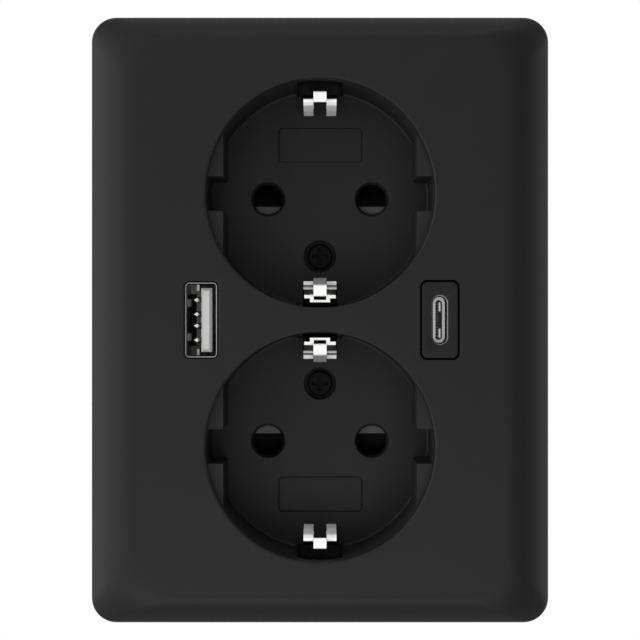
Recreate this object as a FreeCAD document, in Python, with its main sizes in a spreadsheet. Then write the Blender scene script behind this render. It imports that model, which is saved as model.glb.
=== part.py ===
import FreeCAD, Part
import math
import os
import re
import Sketcher
from FreeCAD import Placement, Rotation, Vector

# Double wall socket for round earthed plugs, with two charging ports between the recesses.
# X runs to the right, Z up and Y into the wall. The origin is the middle of the cover's back edge, in
# the wall plane. Heights are measured out of the wall, so a height of 5 lies at Y = -5, and what sits
# inside the flush box has a negative height.
# A place in a recess is given by x and by v, which counts from the pins towards the end of the cover.

os.makedirs("parts", exist_ok=True)
doc = FreeCAD.newDocument("usb_wall_socket")
sheet = doc.addObject("Spreadsheet::Sheet", "Sizes")

SIZES = [
    ("frame_gap", 2.3, "between the mounting frame and the cover's side walls"),
    ("end_gap", 5.21, "between a cup's flange and the cover's end walls"),
    ("plate_corner", 4.3, "radius of the cover's corners at its side walls"),
    ("side_wall", 2.2, "thickness of the cover's side walls"),
    ("front_wall", 2.4, "thickness of the cover's front"),
    ("crown_side", 8.0, "width of the curved edge at the left and right"),
    ("crown_end", 4.8, "width of the curved edge at the top and bottom"),
    ("crown_drop", 3.2, "how far the curved edge falls"),
    ("crown_corner", 8.0, "corner radius of the flat front"),
    ("rim_round", 0.4, "rounding of the recess edges in the cover"),
    ("recess_radius", 19.94, "radius of a recess"),
    ("recess_depth", 17.5, "depth of a recess"),
    ("cup_wall", 1.6, "thickness of a recess wall"),
    ("cup_gap", 1.1, "between the two recess walls"),
    ("floor_thick", 1.8, "thickness of a recess floor"),
    ("flange_thick", 1.6, "thickness of a cup's flange"),
    ("flange_lip", 0.36, "flange beyond the recess wall on the inner side"),
    ("flange_brow", 1.96, "flange beyond the recess wall towards the cover's end"),
    ("rib_depth", 3.04, "depth of the guide ribs"),
    ("rib_notch", 6.0, "width of the notch between two guide ribs"),
    ("window_play", 1.1, "clearance beside an earth clip in its opening"),
    ("window_inset", 1.12, "inner edge of a clip's opening from the recess wall"),
    ("window_bridge", 1.2, "wall left above the opening"),
    ("window_deep", 1.0, "depth of the opening in the floor"),
    ("slot_inset", 3.34, "inner edge of the slot for a clip's legs from the recess wall"),
    ("slot_play", 0.12, "clearance beside a clip's legs in their slot"),
    ("pin_pitch", 19.0, "between the two pins of a plug"),
    ("pin_hole", 2.7, "radius of a pin hole"),
    ("pin_chamfer", 0.37, "chamfer of a pin hole"),
    ("screw_offset", 10.49, "cover screw from the pins, towards the middle"),
    ("head_radius", 2.28, "radius of a cover screw's head"),
    ("head_height", 1.6, "height of a cover screw's head"),
    ("head_round", 0.35, "rounding of a cover screw's head"),
    ("head_play", 0.12, "clearance round the head"),
    ("well_ring", 0.53, "ledge round the head"),
    ("well_depth", 1.5, "depth of the screw's well"),
    ("cross_reach", 1.41, "reach of the cross recess"),
    ("cross_half", 0.37, "half the width of the cross recess"),
    ("cross_depth", 0.9, "depth of the cross recess"),
    ("shank_radius", 1.5, "radius of a cover screw's shank"),
    ("shank_play", 0.06, "clearance round a shank"),
    ("screw_reach", 3.0, "shank beyond the earth link"),
    ("boss_wall", 0.8, "wall of the boss behind the floor"),
    ("boss_length", 2.5, "length of the boss behind the floor"),
    ("field_width", 15.3, "raised frame on the floor, across"),
    ("field_height", 6.4, "raised frame on the floor, upright"),
    ("field_corner", 0.9, "corner radius of the raised frame"),
    ("field_offset", 9.75, "middle of the raised frame from the pins"),
    ("field_line", 0.25, "width of the raised line"),
    ("field_raise", 0.15, "height of the raised line"),
    ("stake_radius", 1.2, "radius of a stake post"),
    ("stake_play", 0.1, "clearance round a stake post"),
    ("stake_head", 1.8, "radius of a stake's formed head"),
    ("stake_cap", 0.7, "height of a stake's formed head"),
    ("stake_gap", 0.06, "between a stake's head and the recess wall"),
    ("stake_edge", 1.8, "flange beside the stake posts"),
    ("stake_low", 3.0, "lower pair of stake posts"),
    ("stake_end", 3.0, "flange beyond the upper pair of stake posts"),
    ("shutter_cover", 0.3, "shutter beyond a pin hole's end"),
    ("shutter_margin", 0.8, "shutter beyond a pin hole's side"),
    ("shutter_thick", 5.6, "thickness of a shutter"),
    ("shutter_play", 0.1, "clearance in front of and behind a shutter"),
    ("guide_play", 0.2, "clearance at a shutter's ends"),
    ("shutter_edge", 1.32, "start of the ramp before the pin's middle"),
    ("ramp_rim", 0.5, "ramp beyond a pin hole's inner side"),
    ("ramp_toe", 0.8, "thickness of a ramp's toe"),
    ("pin_reach", 2.5, "an open shutter's edge from the pins' middle"),
    ("stop_play", 0.3, "clearance at the end of the travel"),
    ("notch_play", 0.3, "clearance beside the boss in a shutter's notch"),
    ("notch_gap", 0.39, "between the boss and an open shutter"),
    ("slot_wall", 1.5, "wall at the end of a spring's slot"),
    ("spring_slot", 1.3, "half the width of a spring's slot"),
    ("spring_wire", 0.15, "radius of the spring wire"),
    ("spring_coil", 0.88, "radius of the spring's coils"),
    ("spring_turns", 7.0, "turns of a spring"),
    ("fold_share", 0.55, "bend of a clip's folds as a share of its sheet"),
    ("earth_sheet", 0.5, "thickness of the earth clip's sheet"),
    ("earth_width", 5.9, "width of an earth clip"),
    ("clip_inset", 1.16, "end of the earth strap from the recess wall"),
    ("fold_inset", 1.99, "fold of the middle finger from the recess wall"),
    ("leg_lean", 0.35, "lean of the middle finger's leg"),
    ("block_run", 1.7, "sloping front of the middle finger, across"),
    ("block_drop", 1.05, "sloping front of the middle finger, deep"),
    ("side_inset", 2.5, "fold of the side fingers from the recess wall"),
    ("side_lean", 0.31, "lean of a side finger's leg"),
    ("side_fold", 0.54, "between a side finger and its leg at the fold"),
    ("side_drop", 0.6, "fold of the side fingers behind that of the middle one"),
    ("clip_depth", 3.1, "fold of a clip below the front"),
    ("apex_inset", 5.14, "contact point of the middle finger from the recess wall"),
    ("apex_depth", 7.6, "contact point below the front"),
    ("side_reach", 1.9, "reach of the side fingers from their fold"),
    ("finger_rise", 0.95, "ends of the fingers above the floor"),
    ("finger_slit", 0.1, "slit between two fingers"),
    ("finger_middle", 2.25, "width of the middle finger"),
    ("neck_width", 3.5, "width of the strap's narrow end"),
    ("neck_length", 0.73, "length of the strap's narrow end"),
    ("lance_near", 0.45, "strap beyond the hole that the middle finger leaves"),
    ("lance_length", 0.51, "length of the hole that the middle finger leaves"),
    ("link_thick", 1.0, "thickness of the earth link"),
    ("link_gap", 1.3, "between the earth link and the power board"),
    ("channel_play", 0.2, "clearance beside the earth strap"),
    ("box_pitch", 60.0, "between the box screws"),
    ("slot_half", 1.9, "half the width of a box screw's slot"),
    ("slot_flat", 0.001, "straight part of a slot's round end"),
    ("slot_length", 5.2, "length of a box screw's slot"),
    ("slot_gap", 1.3, "between a slot and the base"),
    ("frame_edge", 2.9, "mounting frame beyond a box screw's slot"),
    ("frame_corner", 4.0, "corner radius of the mounting frame"),
    ("frame_thick", 1.0, "thickness of the mounting frame"),
    ("frame_play", 0.3, "clearance round the base in the frame"),
    ("rivet_side", 12.0, "rivets from the middle, across"),
    ("rivet_gap", 5.49, "rivets beyond the frame's opening"),
    ("rivet_edge", 3.5, "mounting frame beyond the rivets"),
    ("rivet_radius", 1.15, "radius of a rivet"),
    ("rivet_head", 2.2, "radius of a rivet's head"),
    ("rivet_play", 0.05, "clearance round a rivet"),
    ("tray_wall", 4.3, "tray beyond the ends of a shutter's pocket"),
    ("tray_corner", 8.0, "corner radius of the tray"),
    ("tray_end", 5.27, "tray beyond the earth strap"),
    ("tray_floor", 0.9, "thickness of the tray under a shutter"),
    ("relief_wall", 1.8, "wall round the tray's hollows"),
    ("base_edge", 1.37, "base beyond the contact chambers"),
    ("base_wall", 1.2, "thickness of the base's wall"),
    ("bulkhead", 0.6, "back of the base's front wall behind the wall plane"),
    ("passage_play", 0.2, "pin passage in the base wider than the pin hole"),
    ("chamber_play", 0.2, "clearance beside a contact"),
    ("chamber_end", 0.3, "clearance above and below a contact"),
    ("chamber_wall", 0.6, "thickness of a contact chamber's wall"),
    ("chamber_depth", 11.0, "back of a contact chamber behind the wall plane"),
    ("chamber_gap", 1.0, "between a contact chamber and a busbar"),
    ("contact_sheet", 0.6, "thickness of a contact's sheet"),
    ("contact_width", 3.8, "width of a contact"),
    ("contact_spread", 2.5, "blade of a contact from the pin's middle"),
    ("contact_pinch", 0.35, "how far a blade bends in to the pin"),
    ("contact_splay", 0.25, "how far a blade's end opens out"),
    ("contact_rise", 0.3, "end of a blade below the base's front wall"),
    ("pinch_depth", 2.6, "narrowest place below the blade's end"),
    ("blade_depth", 6.0, "end of the bend below the blade's end"),
    ("strip_width", 5.0, "width of a busbar"),
    ("strip_gap", 0.4, "between a busbar and the power board"),
    ("tab_width", 6.0, "width of a busbar's tab"),
    ("tab_gap", 1.2, "between a busbar's tab and the power board"),
    ("plate_gap", 1.9, "between the power board and the terminals"),
    ("terminal_end", 5.0, "inner end of a terminal plate below the middle"),
    ("clamp_side", 6.2, "side of a clamping plate"),
    ("clamp_thick", 1.0, "thickness of a clamping plate"),
    ("clamp_screw", 1.5, "radius of a terminal screw"),
    ("clamp_tip", 0.5, "terminal screw beyond its plate"),
    ("clamp_head", 2.6, "radius of a terminal screw's head"),
    ("clamp_cap", 1.8, "height of a terminal screw's head"),
    ("clamp_slot", 0.4, "half the width of a terminal screw's slot"),
    ("head_gap", 0.7, "between a terminal screw and the rear cover"),
    ("window_gap", 0.6, "clearance beside a clamping plate in its window"),
    ("window_foot", 1.2, "clearance above and below a clamping plate in its window"),
    ("rear_thick", 1.6, "thickness of the rear cover"),
    ("rear_spigot", 1.2, "height of the rear cover's inner rim"),
    ("spigot_play", 0.2, "clearance round the inner rim"),
    ("spigot_wall", 1.2, "thickness of the inner rim"),
    ("post_radius", 2.4, "radius of the rear cover's posts"),
    ("tapping_radius", 1.0, "radius of a rear cover screw"),
    ("tapping_head", 1.9, "radius of a rear cover screw's head"),
    ("tapping_length", 8.0, "length of a rear cover screw"),
    ("tapping_slot", 0.3, "half the width of a rear cover screw's slot"),
    ("tapping_deep", 0.4, "depth of a rear cover screw's slot"),
    ("board_thick", 1.6, "thickness of the power board"),
    ("board_play", 0.5, "clearance round the power board"),
    ("board_post_side", 15.5, "board posts from the middle, across"),
    ("post_inset", 2.2, "board posts from the power board's edge"),
    ("board_post", 1.6, "radius of a board post"),
    ("riser_thick", 1.0, "thickness of a port board"),
    ("riser_half", 7.4, "half the width of a port board"),
    ("riser_play", 0.25, "clearance round a port board"),
    ("riser_gap", 0.3, "between a port board and the bezel"),
    ("core_half", 6.4, "half the width of the transformer"),
    ("core_gap", 1.0, "between the transformer and the base's front wall"),
    ("core_depth", 6.0, "depth of the transformer's core"),
    ("core_yoke", 1.5, "thickness of the core's yokes"),
    ("core_leg", 1.8, "radius of the core's middle leg"),
    ("coil_gap", 0.3, "between the winding and the core's sides"),
    ("coil_play", 0.1, "between the winding and the core's leg and yokes"),
    ("coil_up", -1.0, "transformer from the middle"),
    ("capacitor_gap", 1.75, "between the input capacitor and the port board"),
    ("capacitor_up", 3.3, "capacitors from the middle, upright"),
    ("input_radius", 4.0, "radius of the input capacitor"),
    ("output_radius", 3.15, "radius of the output capacitor"),
    ("chip_gap", 0.58, "between a chip and the port board"),
    ("chip_up", 4.4, "chips below the middle"),
    ("chip_length", 4.9, "length of a chip"),
    ("chip_width", 4.0, "width of a chip"),
    ("chip_height", 1.5, "height of a chip"),
    ("rectifier_height", 2.25, "height of the rectifier"),
    ("usb_a_gap", 1.68, "between the wide port and a cup's flange"),
    ("usb_a_across", 5.7, "wide port's shell, across"),
    ("usb_a_upright", 13.14, "wide port's shell, upright"),
    ("usb_a_sheet", 0.3, "thickness of the wide port's shell"),
    ("usb_a_length", 14.0, "length of the wide port's shell"),
    ("usb_a_recess", 0.25, "wide port's shell behind the front"),
    ("usb_a_play", 0.12, "gap round the wide port's shell"),
    ("filler_play", 0.15, "clearance round the block in a port's shell"),
    ("tongue_thick", 1.84, "thickness of the wide port's tongue"),
    ("tongue_side", 0.72, "gap beside the tongue's edges"),
    ("tongue_gap", 0.7, "gap between the tongue and the shell"),
    ("tongue_recess", 1.2, "tongue behind the front"),
    ("tongue_block", 4.5, "length of the block that holds the tongue"),
    ("leaf_sheet", 0.24, "thickness of a wide port's contact"),
    ("leaf_half", 0.5, "half the width of a wide port's contact"),
    ("leaf_near", 1.0, "inner contacts from the middle"),
    ("leaf_far", 3.5, "outer contacts from the middle"),
    ("leaf_bend", 0.35, "bend radius of a wide port's contact"),
    ("leaf_gap", 0.02, "clearance under a contact"),
    ("leaf_tail", 0.6, "contact's tail behind the port"),
    ("leaf_root", 1.5, "contact's foot before its block"),
    ("leaf_rise", 0.95, "how far a contact stands off the tongue"),
    ("leaf_crest", 2.2, "crest of a contact behind the tongue's end"),
    ("leaf_tip", 0.3, "tip of a contact behind the tongue's end"),
    ("usb_c_gap", 0.42, "between the bezel's flange and a cup's flange"),
    ("usb_c_across", 3.16, "small port's shell, across"),
    ("usb_c_upright", 8.94, "small port's shell, upright"),
    ("usb_c_sheet", 0.3, "thickness of the small port's shell"),
    ("usb_c_flat", 0.05, "half the straight part of the shell's round end"),
    ("usb_c_length", 7.3, "length of the small port's shell"),
    ("usb_c_recess", 0.5, "small port's shell behind the front"),
    ("blade_thick", 0.7, "thickness of the small port's tongue"),
    ("blade_side", 0.825, "gap beside the small tongue's edges"),
    ("blade_recess", 0.7, "small tongue behind its shell"),
    ("blade_block", 1.6, "length of the block that holds the small tongue"),
    ("lead_recess", 1.4, "small port's contacts behind its shell"),
    ("lead_pitch", 0.5, "between two contacts of the small port"),
    ("lead_half", 0.13, "half the width of a small port's contact"),
    ("lead_raise", 0.06, "height of a small port's contact"),
    ("bezel_across", 6.7, "bezel, across"),
    ("bezel_upright", 13.7, "bezel, upright"),
    ("bezel_corner", 1.1, "corner radius of the bezel"),
    ("bezel_depth", 2.4, "depth of the bezel in the cover"),
    ("bezel_flange", 0.8, "thickness of the bezel's flange"),
    ("bezel_lip", 0.6, "width of the bezel's flange"),
    ("bezel_play", 0.1, "gap round the bezel"),
    ("bezel_hole_play", 0.08, "gap between the bezel and the port"),
]

LEADS = 12
# Bends of an earth clip's fingers, as shares of the finger's reach from the fold and of its length
SIDE_FINGER = [(0.185, 0.16), (0.37, 0.32), (0.37, 0.56), (1.0, 1.0)]
MIDDLE_END = (0.35, 0.985)

for number, (alias, size, meaning) in enumerate(SIZES, start=1):
    sheet.set(f"A{number}", meaning)
    sheet.set(f"B{number}", str(size))
    sheet.setAlias(f"B{number}", alias)

# What follows from the sizes above. Levels are heights out of the wall.
FOLLOWING = [
    ("cup_radius", "recess_radius + cup_wall", "outer radius of a cup"),
    ("socket_pitch", "2 * cup_radius + cup_gap", "between the two recesses"),
    ("stake_side", "cup_radius + stake_head + stake_gap", "stake posts from the middle"),
    ("flange_half", "stake_side + stake_edge", "half the width of a cup's flange"),
    ("flange_reach", "cup_radius + flange_brow", "reach of a cup's flange towards the cover's end"),
    ("stake_high", "flange_reach - stake_end", "upper pair of stake posts"),
    ("frame_width", "box_pitch + slot_length + 2 * frame_edge", "mounting frame, across"),
    ("plate_width", "frame_width + 2 * (frame_gap + side_wall)", "cover, across"),
    ("plate_height", "socket_pitch + 2 * (flange_reach + end_gap + side_wall)", "cover, upright"),
    ("rib_face", "recess_radius - rib_depth", "face of the guide ribs from the middle"),
    ("window_width", "earth_width + 2 * window_play", "width of the opening behind a clip"),
    ("window_start", "recess_radius - window_inset", "inner edge of the opening in the floor"),
    ("slot_start", "recess_radius - slot_inset", "inner edge of the slot for a clip's legs"),
    ("slot_side", "earth_width / 2 + slot_play", "half the width of the slot"),
    ("boss_radius", "head_radius + head_play + boss_wall", "radius of the boss behind the floor"),
    ("screw_well", "head_radius + head_play + well_ring", "radius of the screw's well"),
    ("tray_level", "frame_thick + tray_floor", "tray under a shutter"),
    ("shutter_bottom", "tray_level + shutter_play", "back of a shutter"),
    ("shutter_top", "shutter_bottom + shutter_thick", "front of a shutter"),
    ("floor_back", "shutter_top + shutter_play", "back of the recess floor"),
    ("floor_level", "floor_back + floor_thick", "recess floor"),
    ("window_end", "floor_level - window_deep", "bottom of a clip's opening"),
    ("cover_height", "floor_level + recess_depth", "front of the cover"),
    ("crown_level", "cover_height - crown_drop", "top of the cover's side walls"),
    ("lip_level", "cover_height - front_wall", "back of the cover's front"),
    ("flange_level", "lip_level - flange_thick", "back of a cup's flange"),
    ("strap_level", "floor_back - boss_length", "front of the earth strap"),
    ("link_level", "strap_level - earth_sheet", "front of the earth link"),
    ("well_level", "floor_level - well_depth", "front of a cover screw's head"),
    ("seat_level", "well_level - head_height", "seat of a cover screw's head"),
    ("bridge_level", "strap_level + channel_play", "back of a shutter's bridge"),
    ("shutter_half", "pin_pitch / 2 + pin_hole + shutter_cover", "half the length of a shutter"),
    ("shutter_side", "pin_hole + shutter_margin", "half the width of a shutter"),
    ("ramp_inner", "pin_pitch / 2 - pin_hole - ramp_rim", "inner end of a ramp"),
    ("shutter_travel", "shutter_side + pin_reach", "travel of a shutter"),
    ("notch_half", "boss_radius + notch_play", "half the width of a shutter's notch"),
    ("notch_depth", "shutter_side + shutter_travel - screw_offset + boss_radius + notch_gap",
     "depth of a shutter's notch"),
    ("slot_end", "shutter_side - slot_wall", "end of a spring's slot"),
    ("boss_edge", "boss_radius - screw_offset", "boss on the side of the pins"),
    ("screw_place", "socket_pitch / 2 - screw_offset", "cover screws from the middle"),
    ("clip_reach", "recess_radius - clip_inset", "end of the earth strap"),
    ("clip_fold", "recess_radius - fold_inset", "fold of the middle finger"),
    ("side_leg", "recess_radius - side_inset", "leg of the side fingers at their fold"),
    ("clip_apex", "recess_radius - apex_inset", "contact point of the middle finger"),
    ("fold_level", "cover_height - clip_depth - earth_sheet / 2", "middle of the fold's sheet"),
    ("finger_length", "fold_level - floor_level - finger_rise", "from the fold to the fingers' ends"),
    ("chamber_width", "contact_sheet + 2 * (contact_spread + contact_splay + chamber_play + chamber_wall)",
     "contact chamber, across"),
    ("chamber_height", "contact_width + 2 * (chamber_end + chamber_wall)", "contact chamber, upright"),
    ("chamber_side", "(pin_pitch + chamber_width) / 2 - chamber_wall", "inner side of a chamber's wall"),
    ("chamber_top", "(socket_pitch + chamber_height) / 2 - chamber_wall", "inner end of a chamber's wall"),
    ("base_radius", "sqrt(chamber_side ^ 2 + chamber_top ^ 2) + base_edge", "radius of the base"),
    ("base_flat", "(box_pitch - slot_length) / 2 - slot_gap", "flats of the base from the middle"),
    ("pin_passage", "pin_hole + passage_play", "radius of the pin passages in the base"),
    ("rivet_up", "sqrt((base_radius + frame_play) ^ 2 - rivet_side ^ 2) + rivet_gap",
     "rivets from the middle, upright"),
    ("frame_height", "2 * (rivet_up + rivet_edge)", "mounting frame, upright"),
    ("tray_half", "shutter_half + guide_play + tray_wall", "half the width of the base's front tray"),
    ("tray_end_level", "socket_pitch / 2 + clip_reach + tray_end", "half the height of the tray"),
    ("pocket_start", "socket_pitch / 2 - shutter_side - shutter_travel - stop_play",
     "inner end of a shutter's pocket"),
    ("strip_level", "chamber_depth + chamber_gap + contact_sheet / 2", "busbar behind the wall plane"),
    ("board_level", "strip_level + contact_sheet / 2 + strip_gap", "power board behind the wall plane"),
    ("terminal_level", "board_level + board_thick + plate_gap", "clamping face behind the wall plane"),
    ("base_depth", "terminal_level + clamp_thick + clamp_cap + head_gap", "depth of the base"),
    ("rim_radius", "base_radius - base_wall - spigot_play", "outer radius of the rear cover's rim"),
    ("post_place", "rim_radius - spigot_wall - spigot_play - post_radius",
     "rear cover screws above and below the middle"),
    ("board_half", "base_flat - base_wall - board_play", "half the width of the power board"),
    ("board_side", "sqrt((base_radius - base_wall) ^ 2 - board_half ^ 2) - board_play",
     "half the height of the power board"),
    ("board_post_up", "board_side - post_inset", "board posts from the middle, upright"),
    ("tab_place", "board_side + contact_sheet / 2 + tab_gap", "busbar's tab below the middle"),
    ("link_reach", "board_side + link_thick / 2 + link_gap", "reach of the earth link from the middle"),
    ("terminal_place", "(tab_place + terminal_end) / 2", "terminal screw below the middle"),
    ("core_height", "board_level - bulkhead - core_gap", "height of the transformer"),
    ("tongue_upright", "usb_a_upright - 2 * (usb_a_sheet + tongue_side)", "width of the wide tongue"),
    ("blade_upright", "usb_c_upright - 2 * (usb_c_sheet + blade_side)", "width of the small tongue"),
    ("usb_a_clear", "cup_radius + flange_lip + usb_a_gap", "wide port from a recess's middle"),
    ("usb_a_place", "sqrt(usb_a_clear ^ 2 - ((socket_pitch - usb_a_upright) / 2) ^ 2) + usb_a_across / 2",
     "wide port from the middle"),
    ("usb_a_back", "usb_a_place + usb_a_across / 2", "wide port's outer face"),
    ("usb_c_clear", "cup_radius + flange_lip + usb_c_gap", "bezel's flange from a recess's middle"),
    ("bezel_top", "(socket_pitch - bezel_upright) / 2 - bezel_lip", "bezel's flange below a recess"),
    ("usb_c_place", "sqrt(usb_c_clear ^ 2 - bezel_top ^ 2) + bezel_across / 2 + bezel_lip",
     "small port from the middle"),
    ("usb_c_back", "usb_c_place + usb_c_across / 2", "small port's outer face"),
    ("capacitor_side", "usb_a_back - input_radius - capacitor_gap", "capacitors from the middle, across"),
    ("chip_side", "usb_c_back - chip_length - chip_gap", "chips from the middle, across"),
]


def formula(text):
    """An expression on the sheet, from a text that names its sizes by their words alone."""
    return re.sub(r"\b[a-z]\w*\b(?!\s*\()", lambda word: "Sizes." + word[0], text)


for number, (alias, text, meaning) in enumerate(FOLLOWING, start=len(SIZES) + 1):
    sheet.set(f"A{number}", meaning)
    sheet.set(f"B{number}", "=" + text)
    sheet.setAlias(f"B{number}", alias)
doc.recompute()


def size(text):
    """The present value of an expression on the sheet."""
    return float(sheet.evalExpression(formula(str(text))))


def bind(item, name, text):
    """Tie one property of an object to the sheet."""
    item.setExpression(name, formula(str(text)))


def new_body(label):
    body = doc.addObject("PartDesign::Body", label)
    body.Label = label
    return body


def new_sketch(body, height="0", plane="XZ_Plane"):
    """A sketch parallel to the wall at a height, or on another origin plane moved along its normal."""
    support = [item for item in body.Origin.OriginFeatures if item.Role == plane][0]
    sketch = body.newObject("Sketcher::SketchObject", body.Name + "_sketch")
    sketch.AttachmentSupport = [(support, "")]
    sketch.MapMode = "FlatFace"
    bind(sketch, "AttachmentOffset.Base.z", height)
    return sketch


def dimension(sketch, kind, places, text):
    """A dimension of a sketch, tied to the sheet."""
    index = sketch.addConstraint(Sketcher.Constraint(kind, *places, size(text)))
    sketch.renameConstraint(index, f"size_{index}")
    bind(sketch, f"Constraints.size_{index}", text)


def closed_line(sketch, points):
    """A closed outline of straight lines through points given as pairs of expressions."""
    spots = [Vector(size(across), size(up), 0) for across, up in points]
    first = sketch.GeometryCount
    count = len(points)
    for step in range(count):
        sketch.addGeometry(Part.LineSegment(spots[step], spots[(step + 1) % count]), False)
    for step, (across, up) in enumerate(points):
        following = first + (step + 1) % count
        sketch.addConstraint(Sketcher.Constraint("Coincident", first + step, 2, following, 1))
        dimension(sketch, "DistanceX", (-1, 1, first + step, 1), across)
        dimension(sketch, "DistanceY", (-1, 1, first + step, 1), up)


def rectangle(sketch, left, right, bottom, top):
    closed_line(sketch, [(left, bottom), (right, bottom), (right, top), (left, top)])


def circle(sketch, across, up, radius):
    centre = Vector(size(across), size(up), 0)
    ring = sketch.addGeometry(Part.Circle(centre, Vector(0, 0, 1), size(radius)), False)
    dimension(sketch, "DistanceX", (-1, 1, ring, 3), across)
    dimension(sketch, "DistanceY", (-1, 1, ring, 3), up)
    dimension(sketch, "Radius", (ring,), radius)


def rounded_rectangle(sketch, left, right, bottom, top, radius):
    """A rectangle with four equal arcs at its corners."""
    low_x, high_x, low_y, high_y, bend = (size(text) for text in (left, right, bottom, top, radius))
    first = sketch.GeometryCount
    starts = [(low_x + bend, low_y), (high_x, low_y + bend), (high_x - bend, high_y), (low_x, high_y - bend)]
    ends = [(high_x - bend, low_y), (high_x, high_y - bend), (low_x + bend, high_y), (low_x, low_y + bend)]
    centres = [(high_x - bend, low_y + bend), (high_x - bend, high_y - bend),
               (low_x + bend, high_y - bend), (low_x + bend, low_y + bend)]
    for turn in range(4):
        sketch.addGeometry(Part.LineSegment(Vector(*starts[turn], 0), Vector(*ends[turn], 0)), False)
        ring = Part.Circle(Vector(*centres[turn], 0), Vector(0, 0, 1), bend)
        angle = math.radians(90 * (turn - 1))
        sketch.addGeometry(Part.ArcOfCircle(ring, angle, angle + math.pi / 2), False)
    for turn in range(4):
        line = first + 2 * turn
        following = first + 2 * ((turn + 1) % 4)
        sketch.addConstraint(Sketcher.Constraint("Tangent", line, 2, line + 1, 1))
        sketch.addConstraint(Sketcher.Constraint("Tangent", line + 1, 2, following, 1))
        sketch.addConstraint(Sketcher.Constraint("Vertical" if turn % 2 else "Horizontal", line))
        if turn:
            sketch.addConstraint(Sketcher.Constraint("Equal", first + 1, line + 1))
    dimension(sketch, "Radius", (first + 1,), radius)
    dimension(sketch, "DistanceY", (-1, 1, first, 1), bottom)
    dimension(sketch, "DistanceX", (-1, 1, first + 2, 1), right)
    dimension(sketch, "DistanceY", (-1, 1, first + 4, 1), top)
    dimension(sketch, "DistanceX", (-1, 1, first + 6, 1), left)


def centred(sketch, across, up, width, height, radius=None):
    """A rectangle about a point, with rounded corners where a radius is given."""
    edges = [f"{across} - ({width}) / 2", f"{across} + ({width}) / 2",
             f"{up} - ({height}) / 2", f"{up} + ({height}) / 2"]
    if radius is None:
        rectangle(sketch, *edges)
    else:
        rounded_rectangle(sketch, *edges, radius)


def arc_outline(sketch, steps, radius):
    """A closed outline about the origin, of upright or level lines and arcs of one radius.

    Each step is a kind (level, upright or arc), its start and its end, as pairs of expressions.
    """
    first = sketch.GeometryCount
    arcs = []
    for step, (kind, start, end) in enumerate(steps):
        begin = Vector(size(start[0]), size(start[1]), 0)
        finish = Vector(size(end[0]), size(end[1]), 0)
        if kind == "arc":
            ring = Part.Circle(Vector(), Vector(0, 0, 1), size(radius))
            angles = [math.atan2(point.y, point.x) for point in (begin, finish)]
            angles[1] += 2 * math.pi if angles[1] < angles[0] else 0
            sketch.addGeometry(Part.ArcOfCircle(ring, *angles), False)
            arcs.append(first + step)
        else:
            sketch.addGeometry(Part.LineSegment(begin, finish), False)
    for step, (kind, start, end) in enumerate(steps):
        place = first + step
        following = first + (step + 1) % len(steps)
        sketch.addConstraint(Sketcher.Constraint("Coincident", place, 2, following, 1))
        if kind == "level":
            sketch.addConstraint(Sketcher.Constraint("Horizontal", place))
            dimension(sketch, "DistanceY", (-1, 1, place, 1), start[1])
        elif kind == "upright":
            sketch.addConstraint(Sketcher.Constraint("Vertical", place))
            dimension(sketch, "DistanceX", (-1, 1, place, 1), start[0])
        else:
            sketch.addConstraint(Sketcher.Constraint("Coincident", place, 3, -1, 1))
            dimension(sketch, "Radius", (place,), radius)


def flatted_circle(sketch, radius, flat):
    """A circle about the origin with a flat on the left and on the right."""
    rise = f"sqrt(({radius}) ^ 2 - ({flat}) ^ 2)"
    corners = [(flat, f"-{rise}"), (flat, rise), (f"-({flat})", rise), (f"-({flat})", f"-{rise}")]
    arc_outline(sketch, [("upright", corners[0], corners[1]), ("arc", corners[1], corners[2]),
                         ("upright", corners[2], corners[3]), ("arc", corners[3], corners[0])], radius)


def pad(body, sketch, length):
    """Raise a sketch out of the wall by a length."""
    feature = body.newObject("PartDesign::Pad", body.Name + "_pad")
    feature.Profile = sketch
    bind(feature, "Length", length)
    body.Tip = feature
    doc.recompute()
    return feature


def pocket(body, sketch, depth, outwards=False):
    """Cut a sketch into the body, towards the wall unless outwards, and see that it cuts."""
    before = body.Shape.Volume
    feature = body.newObject("PartDesign::Pocket", body.Name + "_pocket")
    feature.Profile = sketch
    feature.Reversed = outwards
    bind(feature, "Length", depth)
    body.Tip = feature
    doc.recompute()
    if feature.Shape.Volume > before - 1e-4:
        raise ValueError(f"{feature.Label} cuts nothing")
    return feature


def edges_where(feature, test):
    return [f"Edge{number}" for number, edge in enumerate(feature.Shape.Edges, start=1) if test(edge)]


def dress(body, kind, feature, names, amount):
    """Round or chamfer edges of a feature: Fillet takes a radius and Chamfer a size."""
    if not names:
        raise ValueError(f"no edges to dress on {feature.Label}")
    dressed = body.newObject("PartDesign::" + kind, body.Name + "_" + kind.lower())
    dressed.Base = (feature, names)
    bind(dressed, "Radius" if kind == "Fillet" else "Size", amount)
    body.Tip = dressed
    doc.recompute()
    return dressed


def ring_edge(height, radius):
    """A test for a full circle of a radius at a height."""
    def test(edge):
        if not isinstance(edge.Curve, Part.Circle):
            return False
        return abs(edge.Curve.Radius - size(radius)) < 1e-4 and abs(edge.Curve.Center.y + size(height)) < 1e-4
    return test


def block(label, left, right, back, front, bottom, top):
    """A plain block between two sides, two heights out of the wall and two levels."""
    item = doc.addObject("Part::Box", label)
    item.Label = label
    bind(item, "Length", f"({right}) - ({left})")
    bind(item, "Width", f"({front}) - ({back})")
    bind(item, "Height", f"({top}) - ({bottom})")
    bind(item, "Placement.Base.x", left)
    bind(item, "Placement.Base.y", f"-({front})")
    bind(item, "Placement.Base.z", bottom)
    return item


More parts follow.
